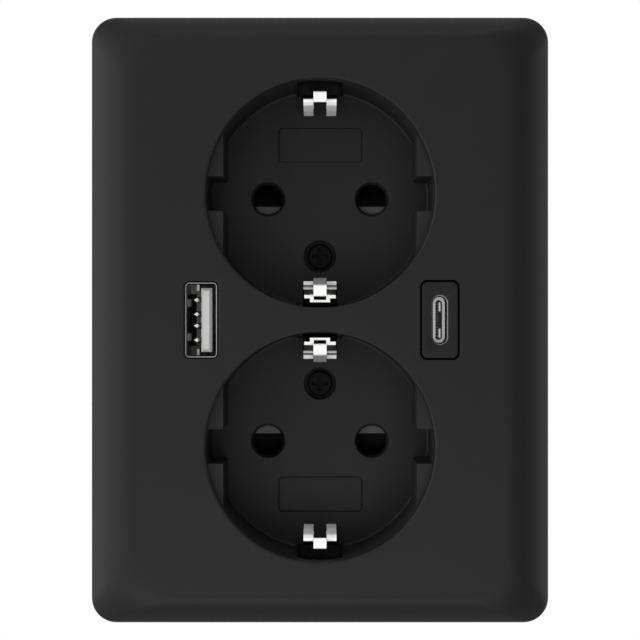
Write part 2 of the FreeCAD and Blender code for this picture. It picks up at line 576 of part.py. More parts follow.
def rod(label, across, up, radius, back, front):
    """A round rod that stands out of the wall between two heights."""
    item = doc.addObject("Part::Cylinder", label)
    item.Label = label
    item.Placement = Placement(Vector(), Rotation(Vector(1, 0, 0), -90))
    bind(item, "Radius", radius)
    bind(item, "Height", f"({front}) - ({back})")
    bind(item, "Placement.Base.x", across)
    bind(item, "Placement.Base.y", f"-({front})")
    bind(item, "Placement.Base.z", up)
    return item


def joined(label, items):
    item = doc.addObject("Part::MultiFuse", label)
    item.Label = label
    item.Shapes = items
    item.Refine = True
    return item


def cut_from(label, base, tool):
    item = doc.addObject("Part::Cut", label)
    item.Label = label
    item.Base = base
    item.Tool = tool
    item.Refine = True
    return item


def strip_face(points, thickness, bend):
    """Section of a folded strip in a plane: straight runs joined by arcs, of one thickness."""
    sides = []
    for offset in (thickness / 2, -thickness / 2):
        edges = []
        heading = (points[1] - points[0]).normalize()
        place = points[0] + Vector(-heading.y, heading.x) * offset
        for before, corner, after in zip(points, points[1:], points[2:]):
            into = (corner - before).normalize()
            out = (after - corner).normalize()
            half_turn = into.getAngle(out) / 2
            run = bend * math.tan(half_turn)
            normal_in = Vector(-into.y, into.x)
            normal_out = Vector(-out.y, out.x)
            centre = corner + (out - into).normalize() * (bend / math.cos(half_turn))
            middle = centre + (corner - centre).normalize() * bend
            start = corner - into * run + normal_in * offset
            peak = middle + (normal_in + normal_out).normalize() * offset
            end = corner + out * run + normal_out * offset
            edges.append(Part.LineSegment(place, start).toShape())
            edges.append(Part.Arc(start, peak, end).toShape())
            place = end
        heading = (points[-1] - points[-2]).normalize()
        last = points[-1] + Vector(-heading.y, heading.x) * offset
        edges.append(Part.LineSegment(place, last).toShape())
        sides.append(edges)
    left, right = sides
    caps = []
    for edge, vertex in ((0, 0), (-1, -1)):
        ends = [side[edge].Vertexes[vertex].Point for side in (left, right)]
        caps.append(Part.LineSegment(*ends).toShape())
    return Part.Face(Part.Wire(Part.__sortEdges__(left + right + caps)))


def strip_upright(points, thickness, bend, left, right):
    """A folded strip whose section lies upright, in v or Z and height, between two sides."""
    section = strip_face([Vector(up, height) for up, height in points], thickness, bend)
    solid = section.extrude(Vector(0, 0, right - left))
    return solid.transformed(FreeCAD.Matrix(0, 0, 1, left, 0, -1, 0, 0, 1, 0, 0, 0))


def strip_level(points, thickness, bend, bottom, top):
    """A folded strip whose section lies level, in X and height, between two levels."""
    section = strip_face([Vector(across, height) for across, height in points], thickness, bend)
    solid = section.extrude(Vector(0, 0, top - bottom))
    return solid.transformed(FreeCAD.Matrix(1, 0, 0, 0, 0, -1, 0, 0, 0, 0, -1, top))


def solid_block(left, right, back, front, bottom, top):
    return Part.makeBox(right - left, front - back, top - bottom, Vector(left, -front, bottom))


def solid_rod(across, up, radius, back, front):
    return Part.makeCylinder(radius, front - back, Vector(across, -front, up), Vector(0, 1, 0))


def fused(solids):
    return solids[0].multiFuse(solids[1:]).removeSplitter()


def plain_part(label, shape):
    """A piece whose folded or coiled form comes from code, with its sizes from the sheet."""
    item = doc.addObject("Part::Feature", label)
    item.Label = label
    item.Shape = shape
    return item


def set_in_socket(item, upper):
    """Move a piece modelled about a recess to the upper recess, or turned round to the lower one."""
    turn = Rotation() if upper else Rotation(Vector(0, 1, 0), 180)
    item.Placement = Placement(Vector(), turn)
    bind(item, "Placement.Base.z", "socket_pitch / 2" if upper else "-socket_pitch / 2")


def front_cover():
    """Rounded plate with side walls back to the wall, a soft crown and the openings in its front."""
    body = new_body("front_cover")
    outline = new_sketch(body)
    centred(outline, "0", "0", "plate_width", "plate_height", "plate_corner")
    pad(body, outline, "crown_level")

    rings = 5
    sections = []
    for ring in range(rings + 1):
        share = f"{ring} / {rings}"
        height = f"cover_height - crown_drop * (1 - {share}) ^ 2"
        section = new_sketch(body, height)
        centred(section, "0", "0", f"plate_width - 2 * crown_side * {share}",
                f"plate_height - 2 * crown_end * {share}",
                f"plate_corner + (crown_corner - plate_corner) * {share}")
        sections.append(section)
    crown = body.newObject("PartDesign::AdditiveLoft", "front_cover_crown")
    crown.Profile = sections[0]
    crown.Sections = sections[1:]
    body.Tip = crown
    doc.recompute()

    hollow = new_sketch(body)
    centred(hollow, "0", "0", "plate_width - 2 * side_wall", "plate_height - 2 * side_wall",
            "plate_corner - side_wall")
    pocket(body, hollow, "crown_level - side_wall", outwards=True)
    throat = []
    for height, across, up, corner in [
            ("crown_level - side_wall", "plate_width - 2 * side_wall", "plate_height - 2 * side_wall",
             "plate_corner - side_wall"),
            ("lip_level", "plate_width - 2 * crown_side", "plate_height - 2 * crown_end", "crown_corner")]:
        section = new_sketch(body, height)
        centred(section, "0", "0", across, up, corner)
        throat.append(section)
    taper = body.newObject("PartDesign::SubtractiveLoft", "front_cover_throat")
    taper.Profile = throat[0]
    taper.Sections = throat[1:]
    taper.Ruled = True
    body.Tip = taper
    doc.recompute()

    posts = new_sketch(body, "flange_level")
    for side in ("-", ""):
        for end in ("-", ""):
            for offset in ("stake_low", "stake_high"):
                circle(posts, side + "stake_side", f"{end}(socket_pitch / 2 + {offset})", "stake_radius")
    pad(body, posts, "flange_thick")
    heads = new_sketch(body, "flange_level - stake_cap")
    for side in ("-", ""):
        for end in ("-", ""):
            for offset in ("stake_low", "stake_high"):
                circle(heads, side + "stake_side", f"{end}(socket_pitch / 2 + {offset})", "stake_head")
    pad(body, heads, "stake_cap")

    openings = new_sketch(body, "cover_height")
    for end in ("-", ""):
        circle(openings, "0", end + "socket_pitch / 2", "recess_radius")
    pocket(body, openings, "front_wall")
    ports = new_sketch(body, "cover_height")
    centred(ports, "-usb_a_place", "0", "usb_a_across + 2 * usb_a_play", "usb_a_upright + 2 * usb_a_play")
    centred(ports, "usb_c_place", "0", "bezel_across + 2 * bezel_play", "bezel_upright + 2 * bezel_play",
            "bezel_corner + bezel_play")
    cut = pocket(body, ports, "front_wall")
    dress(body, "Fillet", cut, edges_where(cut, ring_edge("cover_height", "recess_radius")), "rim_round")
    return [body]


def recess_outline(sketch):
    """The inside of a recess: a circle with four guide ribs, and a notch between each pair."""
    wide = "sqrt(recess_radius ^ 2 - (rib_notch / 2) ^ 2)"
    high = "sqrt(recess_radius ^ 2 - rib_face ^ 2)"
    notch = "rib_notch / 2"
    steps = [
        ("level", ("rib_face", f"-{notch}"), (wide, f"-{notch}")),
        ("arc", (wide, f"-{notch}"), (wide, notch)),
        ("level", (wide, notch), ("rib_face", notch)),
        ("upright", ("rib_face", notch), ("rib_face", high)),
        ("arc", ("rib_face", high), ("-rib_face", high)),
        ("upright", ("-rib_face", high), ("-rib_face", notch)),
        ("level", ("-rib_face", notch), (f"-{wide}", notch)),
        ("arc", (f"-{wide}", notch), (f"-{wide}", f"-{notch}")),
        ("level", (f"-{wide}", f"-{notch}"), ("-rib_face", f"-{notch}")),
        ("upright", ("-rib_face", f"-{notch}"), ("-rib_face", f"-{high}")),
        ("arc", ("-rib_face", f"-{high}"), ("rib_face", f"-{high}")),
        ("upright", ("rib_face", f"-{high}"), ("rib_face", f"-{notch}")),
    ]
    arc_outline(sketch, steps, "recess_radius")


def cup(name, upper):
    """Recess insert with its flange, guide ribs, floor, pin holes, screw well and clip openings."""
    body = new_body(name)
    tube = new_sketch(body, "floor_back")
    circle(tube, "0", "0", "cup_radius")
    pad(body, tube, "lip_level - floor_back")
    lip = new_sketch(body, "flange_level")
    circle(lip, "0", "0", "cup_radius + flange_lip")
    pad(body, lip, "flange_thick")
    flange = new_sketch(body, "flange_level")
    rectangle(flange, "-flange_half", "flange_half", "0", "flange_reach")
    pad(body, flange, "flange_thick")
    boss = new_sketch(body, "strap_level")
    circle(boss, "0", "-screw_offset", "boss_radius")
    pad(body, boss, "boss_length")

    recess = new_sketch(body, "lip_level")
    recess_outline(recess)
    pocket(body, recess, "lip_level - floor_level")
    frame = new_sketch(body, "floor_level")
    centred(frame, "0", "field_offset", "field_width", "field_height", "field_corner")
    centred(frame, "0", "field_offset", "field_width - 2 * field_line", "field_height - 2 * field_line",
            "field_corner - field_line")
    pad(body, frame, "field_raise")

    windows = new_sketch(body, "flange_level + flange_thick - window_bridge")
    for end in ("-", ""):
        edges = ["window_start", "cup_radius + cup_wall"]
        bottom, top = edges if not end else [f"-({edge})" for edge in reversed(edges)]
        rectangle(windows, "-window_width / 2", "window_width / 2", bottom, top)
    pocket(body, windows, "flange_level + flange_thick - window_bridge - window_end")
    slots = new_sketch(body, "floor_level")
    far = "sqrt(recess_radius ^ 2 - slot_side ^ 2)"
    for end, other in (("-", ""), ("", "-")):
        corners = [(end + "slot_side", end + "slot_start"), (end + "slot_side", end + far),
                   (other + "slot_side", end + far), (other + "slot_side", end + "slot_start")]
        arc_outline(slots, [("level", corners[3], corners[0]), ("upright", corners[0], corners[1]),
                            ("arc", corners[1], corners[2]), ("upright", corners[2], corners[3])],
                    "recess_radius")
    pocket(body, slots, "floor_thick")
    stakes = new_sketch(body, "lip_level")
    for side in ("-", ""):
        for offset in ("stake_low", "stake_high"):
            circle(stakes, side + "stake_side", offset, "stake_radius + stake_play")
    pocket(body, stakes, "flange_thick")

    well = new_sketch(body, "floor_level")
    circle(well, "0", "-screw_offset", "screw_well")
    pocket(body, well, "well_depth")
    seat = new_sketch(body, "well_level")
    circle(seat, "0", "-screw_offset", "head_radius + head_play")
    pocket(body, seat, "head_height")
    shank = new_sketch(body, "seat_level")
    circle(shank, "0", "-screw_offset", "shank_radius + shank_play")
    pocket(body, shank, "seat_level - strap_level")
    pins = new_sketch(body, "floor_level")
    for side in ("-", ""):
        circle(pins, side + "pin_pitch / 2", "0", "pin_hole")
    cut = pocket(body, pins, "floor_thick")
    dress(body, "Chamfer", cut, edges_where(cut, ring_edge("floor_level", "pin_hole")), "pin_chamfer")
    set_in_socket(body, upper)
    return [body]


def shutter(name, upper):
    """Sliding bar that closes both pin holes: two ramps, a bridge over the strap and a spring slot."""
    body = new_body(name)
    bar = new_sketch(body, "shutter_bottom")
    rectangle(bar, "-shutter_half", "shutter_half", "-shutter_side", "shutter_side")
    pad(body, bar, "shutter_thick")
    channel = new_sketch(body, "bridge_level")
    rectangle(channel, "-notch_half", "notch_half", "-shutter_side", "shutter_side")
    pocket(body, channel, "bridge_level - shutter_bottom")
    notch = new_sketch(body, "shutter_top")
    rectangle(notch, "-notch_half", "notch_half", "-shutter_side", "notch_depth - shutter_side")
    pocket(body, notch, "shutter_thick")
    slot = new_sketch(body, "shutter_top")
    rectangle(slot, "-spring_slot", "spring_slot", "notch_depth - shutter_side", "slot_end")
    pocket(body, slot, "shutter_thick")
    for inner in ("shutter_half", "-ramp_inner"):
        ramp = new_sketch(body, inner, "YZ_Plane")
        closed_line(ramp, [("-shutter_top", "-shutter_edge"), ("-shutter_top", "shutter_side"),
                           ("-(shutter_bottom + ramp_toe)", "shutter_side")])
        pocket(body, ramp, "shutter_half - ramp_inner")
    set_in_socket(body, upper)
    return [body]


def shutter_spring(name, upper):
    """Coil spring between the screw's boss and the end of the shutter's slot."""
    start = size("boss_edge")
    end = size("slot_end")
    wire = size("spring_wire")
    length = end - start - 2 * wire
    pitch = length / size("spring_turns")
    coil = Part.makeHelix(pitch, length, size("spring_coil"))
    ring = Part.Wire(Part.makeCircle(wire, Vector(size("spring_coil"), 0, 0), Vector(0, 1, 0)))
    shape = Part.Wire(coil).makePipeShell([ring], True, True)
    height = size("bridge_level + shutter_top") / 2
    place = FreeCAD.Matrix(1, 0, 0, 0, 0, 1, 0, -height, 0, 0, 1, start + wire)
    item = plain_part(name, shape.transformed(place, True))
    set_in_socket(item, upper)
    return [item]


def earth_clip(name, upper):
    """One stamping: a strap under the floor, with three fingers bent up and folded over at each end."""
    sheet_thick = size("earth_sheet")
    half = size("earth_width") / 2
    strap = size("strap_level") - sheet_thick / 2
    reach = size("clip_reach")
    wide = reach - size("neck_length")
    neck = size("neck_width") / 2
    middle = size("finger_middle") / 2
    slit = size("finger_slit")
    fold = size("clip_fold")
    fold_level = size("fold_level")
    leg = fold - size("leg_lean")
    apex = size("cover_height - apex_depth")
    length = size("finger_length")
    side_leg = size("side_leg")
    side_foot = side_leg + size("side_lean")
    side_fold = side_leg - size("side_fold")
    side_level = fold_level - size("side_drop")
    side_length = length - size("side_drop")
    tight = size("earth_sheet * fold_share")
    wide_bend = 2 * sheet_thick
    face = size("strap_level")
    back = face - sheet_thick
    solids = [solid_block(-half, half, back, face, -wide, wide),
              solid_block(-neck, neck, back, face, -reach, reach)]
    for end in (-1, 1):
        block = [(fold, fold_level),
                 (fold - size("block_run") / 2, fold_level - size("block_drop") / 2),
                 (fold - size("block_run"), fold_level - size("block_drop"))]
        across, down = MIDDLE_END
        tip = (fold - (fold - size("clip_apex")) * across, fold_level - length * down)
        upper_run = [(leg - wide_bend, strap), (leg, strap), block[0], block[1]]
        lower_run = [block[1], block[2], (size("clip_apex"), apex), tip]
        solids.append(strip_upright([(end * up, height) for up, height in upper_run],
                                    sheet_thick, tight, -middle, middle))
        solids.append(strip_upright([(end * up, height) for up, height in lower_run],
                                    sheet_thick, wide_bend, -middle, middle))
        side_points = [(side_fold - size("side_reach") * across, side_level - side_length * down)
                       for across, down in SIDE_FINGER]
        upper_run = [(side_foot - wide_bend, strap), (side_foot, strap), (side_leg, side_level),
                     (side_fold, side_level), side_points[0]]
        for side in (-1, 1):
            finger = sorted((side * (middle + slit), side * half))
            solids.append(strip_upright([(end * up, height) for up, height in upper_run],
                                        sheet_thick, tight, *finger))
            solids.append(strip_upright([(end * up, height) for up, height in side_points],
                                        sheet_thick, wide_bend, *finger))
    shape = fused(solids)
    lance = reach - size("lance_near")
    for end in (-1, 1):
        bottom, top = sorted((end * lance, end * (lance - size("lance_length"))))
        shape = shape.cut(solid_block(-(middle + slit), middle + slit, back, face, bottom, top))
    hole = solid_rod(0, -size("screw_offset"), size("shank_radius + shank_play"),
                     strap - sheet_thick, strap + sheet_thick)
    item = plain_part(name, shape.cut(hole))
    set_in_socket(item, upper)
    return [item]


def base_housing():
    """Front tray for the shutters and straps, round back with contact chambers and board posts."""
    body = new_body("base_housing")
    tray = new_sketch(body, "frame_thick")
    centred(tray, "0", "0", "2 * tray_half", "2 * tray_end_level", "tray_corner")
    pad(body, tray, "floor_back - frame_thick")
    drum = new_sketch(body, "-base_depth")
    flatted_circle(drum, "base_radius", "base_flat")
    pad(body, drum, "base_depth + frame_thick")
    hollow = new_sketch(body, "-base_depth")
    flatted_circle(hollow, "base_radius - base_wall", "base_flat - base_wall")
    pocket(body, hollow, "base_depth - bulkhead", outwards=True)

    chambers = new_sketch(body, "-chamber_depth")
    posts = new_sketch(body, "-board_level")
    pillars = new_sketch(body, "-base_depth")
    for end in ("-", ""):
        for side in ("-", ""):
            centred(chambers, side + "pin_pitch / 2", end + "socket_pitch / 2", "chamber_width",
                    "chamber_height")
            circle(posts, side + "board_post_side", end + "board_post_up", "board_post")
        circle(pillars, "0", end + "post_place", "post_radius")
    pad(body, chambers, "chamber_depth - bulkhead")
    pad(body, posts, "board_level - bulkhead")
    pad(body, pillars, "base_depth - bulkhead")
    wells = new_sketch(body, "-chamber_depth")
    bores = new_sketch(body, "-base_depth")
    for end in ("-", ""):
        for side in ("-", ""):
            centred(wells, side + "pin_pitch / 2", end + "socket_pitch / 2",
                    "chamber_width - 2 * chamber_wall", "chamber_height - 2 * chamber_wall")
        circle(bores, "0", end + "post_place", "tapping_radius")
    pocket(body, wells, "chamber_depth - bulkhead", outwards=True)
    pocket(body, bores, "tapping_length", outwards=True)

    shutters = new_sketch(body, "floor_back")
    straps = new_sketch(body, "floor_back")
    passages = new_sketch(body, "tray_level")
    screws = new_sketch(body, "link_level - link_thick")
    bosses = new_sketch(body, "floor_back")
    for end in ("-", ""):
        outer = "socket_pitch / 2 + shutter_side + guide_play"
        span = ["pocket_start", outer] if not end else [f"-({outer})", "-pocket_start"]
        rectangle(shutters, "-(shutter_half + guide_play)", "shutter_half + guide_play", *span)
        leg = "clip_reach + earth_sheet"
        span = [f"socket_pitch / 2 - ({leg})", f"socket_pitch / 2 + {leg}"]
        span = span if not end else [f"-({edge})" for edge in reversed(span)]
        rectangle(straps, "-(earth_width / 2 + channel_play)", "earth_width / 2 + channel_play", *span)
        for side in ("-", ""):
            circle(passages, side + "pin_pitch / 2", end + "socket_pitch / 2", "pin_passage")
        circle(screws, "0", end + "screw_place", "shank_radius + channel_play")
        circle(bosses, "0", end + "screw_place", "boss_radius + channel_play")
    pocket(body, shutters, "floor_back - tray_level")
    pocket(body, straps, "floor_back - link_level")
    pocket(body, bosses, "boss_length")
    link = new_sketch(body, "floor_back")
    reach = "link_reach + link_thick / 2 + channel_play"
    rectangle(link, "-(earth_width / 2 + channel_play)", "earth_width / 2 + channel_play",
              f"-({reach})", reach)
    pocket(body, link, "floor_back - link_level + link_thick")
    drop = new_sketch(body, "link_level")
    rectangle(drop, "-(earth_width / 2 + channel_play)", "earth_width / 2 + channel_play",
              f"-({reach})", "-(link_reach - link_thick / 2 - channel_play)")
    pocket(body, drop, "link_level + bulkhead")
    pocket(body, passages, "tray_level + bulkhead")
    pocket(body, screws, "screw_reach + stop_play")

    relief = new_sketch(body, "floor_back")
    rivets = new_sketch(body, "floor_back")
    holes = new_sketch(body, "floor_back")
    near = "earth_width / 2 + channel_play + relief_wall"
    far = "tray_half - relief_wall"
    high = "pocket_start - relief_wall"
    for side in ("-", ""):
        span = [near, far] if not side else [f"-({far})", f"-({near})"]
        rectangle(relief, *span, f"-({high})", high)
        for end in ("-", ""):
            circle(rivets, side + "rivet_side", end + "rivet_up", "rivet_head + channel_play")
            circle(holes, side + "rivet_side", end + "rivet_up", "rivet_radius + rivet_play")
    pocket(body, relief, "floor_back - frame_thick - base_wall")
    pocket(body, rivets, "floor_back - frame_thick - 2 * base_wall")
    pocket(body, holes, "floor_back - frame_thick")
    slots = new_sketch(body, "frame_thick")
    for side, gap in (("-", "usb_a_back"), ("", "usb_c_back")):
        edges = [f"{gap} - riser_play", f"{gap} + riser_thick + riser_play"]
        edges = edges if not side else [f"-({edge})" for edge in reversed(edges)]
        rectangle(slots, *edges, "-(riser_half + riser_play)", "riser_half + riser_play")
    pocket(body, slots, "frame_thick + bulkhead")
    return [body]


def mounting_frame():
    """Steel frame with an opening for the base, two box-screw slots and four rivet holes."""
    body = new_body("mounting_frame")
    plate = new_sketch(body)
    centred(plate, "0", "0", "frame_width", "frame_height", "frame_corner")
    pad(body, plate, "frame_thick")
    opening = new_sketch(body, "frame_thick")
    flatted_circle(opening, "base_radius + frame_play", "base_flat + frame_play")
    pocket(body, opening, "frame_thick")
    slots = new_sketch(body, "frame_thick")
    for side in ("-", ""):
        centred(slots, side + "box_pitch / 2", "0", "slot_length", "2 * slot_half", "slot_half - slot_flat")
    pocket(body, slots, "frame_thick")
    rivets = new_sketch(body, "frame_thick")
    for side in ("-", ""):
        for end in ("-", ""):
            circle(rivets, side + "rivet_side", end + "rivet_up", "rivet_radius + rivet_play")
    pocket(body, rivets, "frame_thick")
    return [body]


def frame_rivets():
    """Four rivets from the frame into the tray."""
    solids = []
    for side in ("-", ""):
        for end in ("-", ""):
            mark = f"rivet_{len(solids)}"
            shank = rod(mark + "_shank", side + "rivet_side", end + "rivet_up", "rivet_radius", "0",
                        "frame_thick + 2 * base_wall")
            head = rod(mark + "_head", side + "rivet_side", end + "rivet_up", "rivet_head",
                       "frame_thick + 2 * base_wall", "frame_thick + 2 * base_wall + rivet_radius")
            solids.append(joined(mark, [shank, head]))
    return [joined("frame_rivets", solids)]


def rear_cover():
    """Flat back with an inner rim, a window over each terminal and two countersunk screw holes."""
    body = new_body("rear_cover")
    disc = new_sketch(body, "-(base_depth + rear_thick)")
    flatted_circle(disc, "base_radius", "base_flat")
    pad(body, disc, "rear_thick")
    rim = new_sketch(body, "-base_depth")
    flat = "base_flat - base_wall - spigot_play"
    flatted_circle(rim, "rim_radius", flat)
    flatted_circle(rim, "rim_radius - spigot_wall", f"{flat} - spigot_wall")
    pad(body, rim, "rear_spigot")
    windows = new_sketch(body, "-base_depth")
    for across in ("-pin_pitch / 2", "0", "pin_pitch / 2"):
        centred(windows, across, "-terminal_place", "clamp_side + 2 * window_gap",
                "clamp_side + 2 * window_foot")
    pocket(body, windows, "rear_thick")
    holes = new_sketch(body, "-base_depth")
    for end in ("-", ""):
        circle(holes, "0", end + "post_place", "tapping_radius + shank_play")
    cut = pocket(body, holes, "rear_thick")
    mouths = edges_where(cut, ring_edge("-(base_depth + rear_thick)", "tapping_radius + shank_play"))
    dress(body, "Chamfer", cut, mouths, "tapping_head - tapping_radius")
    return [body]


def rear_cover_screws():
    """Two countersunk screws through the rear cover."""
    solids = []
    back = size("-(base_depth + rear_thick)")
    thread = size("tapping_radius")
    wide = size("tapping_head") - size("shank_play")
    half = size("tapping_slot")
    for end in (-1, 1):
        up = end * size("post_place")
        cone = Part.makeCone(wide, thread, wide - thread, Vector(0, -back, up), Vector(0, -1, 0))
        shank = solid_rod(0, up, thread, back, back + size("tapping_length"))
        slot = solid_block(-wide, wide, back, back + size("tapping_deep"), up - half, up + half)
        solids.append(fused([cone, shank]).cut(slot))
    return [plain_part("rear_cover_screws", Part.makeCompound(solids))]


def cover_screw(name, upper):
    """Cover screw with a cross recess, sunk in the floor and threaded into the earth link."""
    well = size("well_level")
    seat = size("seat_level")
    tip = size("link_level - link_thick - screw_reach")
    across = size("head_radius")
    up = -size("screw_offset")
    head = solid_rod(0, up, across, seat, well)
    middle = (seat + well) / 2
    rims = [edge for edge in head.Edges
            if isinstance(edge.Curve, Part.Circle) and edge.Curve.Center.y < -middle]
    head = head.makeFillet(size("head_round"), rims)
    shape = fused([head, solid_rod(0, up, size("shank_radius"), tip, seat)])
    reach = size("cross_reach")
    half = size("cross_half")
    for wide, high in ((reach, half), (half, reach)):
        shape = shape.cut(solid_block(-wide, wide, well - size("cross_depth"), well + half,
                                      up - high, up + high))
    item = plain_part(name, shape)
    set_in_socket(item, upper)
    return [item]


def earth_link():
    """Strip that both cover screws hold to the straps, led down to the earth terminal."""
    thick = size("link_thick")
    level = size("link_level") - thick / 2
    reach = size("link_reach")
    plate = -size("terminal_level") + thick / 2
    half = size("earth_width") / 2
    path = [(reach, level), (-reach, level), (-reach, plate), (-size("terminal_end"), plate)]
    shape = strip_upright(path, thick, thick, -half, half)
    for end in (-1, 1):
        shape = shape.cut(solid_rod(0, end * size("screw_place"), size("shank_radius + shank_play"),
                                    level - thick, level + thick))
    hole = solid_rod(0, -size("terminal_place"), size("clamp_screw + shank_play"),
                     plate - thick, plate + thick)
    return [plain_part("earth_link", shape.cut(hole))]


def busbar(name, side):
    """Two sprung forks for the pins of one pole, a strip between them and a terminal tab."""
    thick = size("contact_sheet")
    place = side * size("pin_pitch") / 2
    spread = size("contact_spread")
    pinch = size("contact_spread - contact_pinch")
    top = -size("bulkhead + contact_rise")
    floor = -size("strip_level")
    half = size("contact_width") / 2
    solids = []
    for end in (-1, 1):
        up = end * size("socket_pitch") / 2
        blade = [(size("contact_spread + contact_splay"), top), (pinch, top - size("pinch_depth")),
                 (spread, top - size("blade_depth")), (spread, floor)]
        path = [(place - across, height) for across, height in blade]
        path += [(place + across, height) for across, height in reversed(blade)]
        solids.append(strip_level(path, thick, thick, up - half, up + half))
    run = size("socket_pitch") / 2 + half
    tab_half = size("tab_width") / 2
    wide = size("strip_width") / 2
    solids.append(solid_block(place - wide, place + wide, floor - thick / 2, floor + thick / 2, -run, run))
    plate = -size("terminal_level") + thick / 2
    tab = -size("tab_place")
    path = [(tab, floor), (tab, plate), (-size("terminal_end"), plate)]
    solids.append(strip_upright(path, thick, thick, place - tab_half, place + tab_half))
    hole = solid_rod(place, -size("terminal_place"), size("clamp_screw + shank_play"),
                     plate - thick, plate + thick)
    return [plain_part(name, fused(solids).cut(hole))]


def terminal_clamps():
    """A square clamping plate for each of the three terminals."""
    clamps = []
    places = {"neutral_clamp": "-pin_pitch / 2", "earth_clamp": "0", "live_clamp": "pin_pitch / 2"}
    for name, across in places.items():
        plate = block(name + "_plate", f"{across} - clamp_side / 2", f"{across} + clamp_side / 2",
                      "-(terminal_level + clamp_thick)", "-terminal_level",
                      "-terminal_place - clamp_side / 2", "-terminal_place + clamp_side / 2")
        hole = rod(name + "_hole", across, "-terminal_place", "clamp_screw + shank_play",
                   "-(terminal_level + 2 * clamp_thick)", "-terminal_level + clamp_thick")
        clamps.append(cut_from(name, plate, hole))
    return clamps


def terminal_screws():
    """Three screws that draw the clamping plates down."""
    solids = []
    seat = -size("terminal_level + clamp_thick")
    cap = size("clamp_cap")
    wide = size("clamp_head")
    half = size("clamp_slot")
    for across in (-1, 0, 1):
        place = across * size("pin_pitch") / 2
        up = -size("terminal_place")
        head = solid_rod(place, up, wide, seat - cap, seat)
        shank = solid_rod(place, up, size("clamp_screw"), seat,
                          seat + size("clamp_thick + link_thick + clamp_tip"))
        slot = solid_block(place - wide, place + wide, seat - 2 * cap, seat - cap / 2, up - half, up + half)
        solids.append(fused([head, shank]).cut(slot))
    return [plain_part("terminal_screws", Part.makeCompound(solids))]


def boards():
    """Power board in the base, and one upright board behind each port."""
    power = new_body("power_board")
    outline = new_sketch(power, "-(board_level + board_thick)")
    centred(outline, "0", "0", "2 * board_half", "2 * board_side")
    pad(power, outline, "board_thick")
    usb_a_board = block("usb_a_board", "-usb_a_back - riser_thick", "-usb_a_back", "-board_level",
                        "lip_level - riser_thick", "-riser_half", "riser_half")
    usb_c_board = block("usb_c_board", "usb_c_back", "usb_c_back + riser_thick", "-board_level",
                        "cover_height - bezel_depth - bezel_flange - riser_gap", "-riser_half", "riser_half")
    return [power, usb_a_board, usb_c_board]


def power_parts():
    """The mains converter's parts on the power board, and the controller on the small port's board."""
    foot = "-board_level"
    window_low = f"{foot} + core_yoke"
    window_high = f"{foot} + core_height - core_yoke"
    slab = block("core_slab", "-core_half", "core_half", foot, f"{foot} + core_height",
                 "coil_up - core_depth / 2", "coil_up + core_depth / 2")
    window = block("core_window", "-core_half + core_yoke", "core_half - core_yoke", window_low, window_high,
                   "coil_up - core_depth", "coil_up + core_depth")
    leg = rod("core_leg", "0", "coil_up", "core_leg", window_low, window_high)
    core = joined("transformer_core", [cut_from("core_frame", slab, window), leg])
    copper = rod("coil_copper", "0", "coil_up", "core_half - core_yoke - coil_gap",
                 f"{window_low} + coil_play", f"{window_high} - coil_play")
    bore = rod("coil_bore", "0", "coil_up", "core_leg + coil_play", foot, f"{foot} + core_height")
    coil = cut_from("transformer_coil", copper, bore)
    inlet = rod("input_capacitor", "-capacitor_side", "capacitor_up", "input_radius", foot,
                f"{foot} + core_height")
    outlet = rod("output_capacitor", "capacitor_side", "capacitor_up", "output_radius", foot,
                 f"{foot} + core_height - core_yoke")
    rectifier = block("rectifier", "-chip_side - chip_length", "-chip_side", foot,
                      f"{foot} + rectifier_height", "-chip_up - chip_width", "-chip_up")
    power = block("power_controller", "chip_side", "chip_side + chip_length", foot, f"{foot} + chip_height",
                  "-chip_up - chip_width", "-chip_up")
    charge = block("charge_controller", "usb_c_back - chip_height", "usb_c_back", "chip_width",
                   "chip_width + chip_length", "-chip_width / 2", "chip_width / 2")
    return [core, coil, inlet, outlet, rectifier, power, charge]


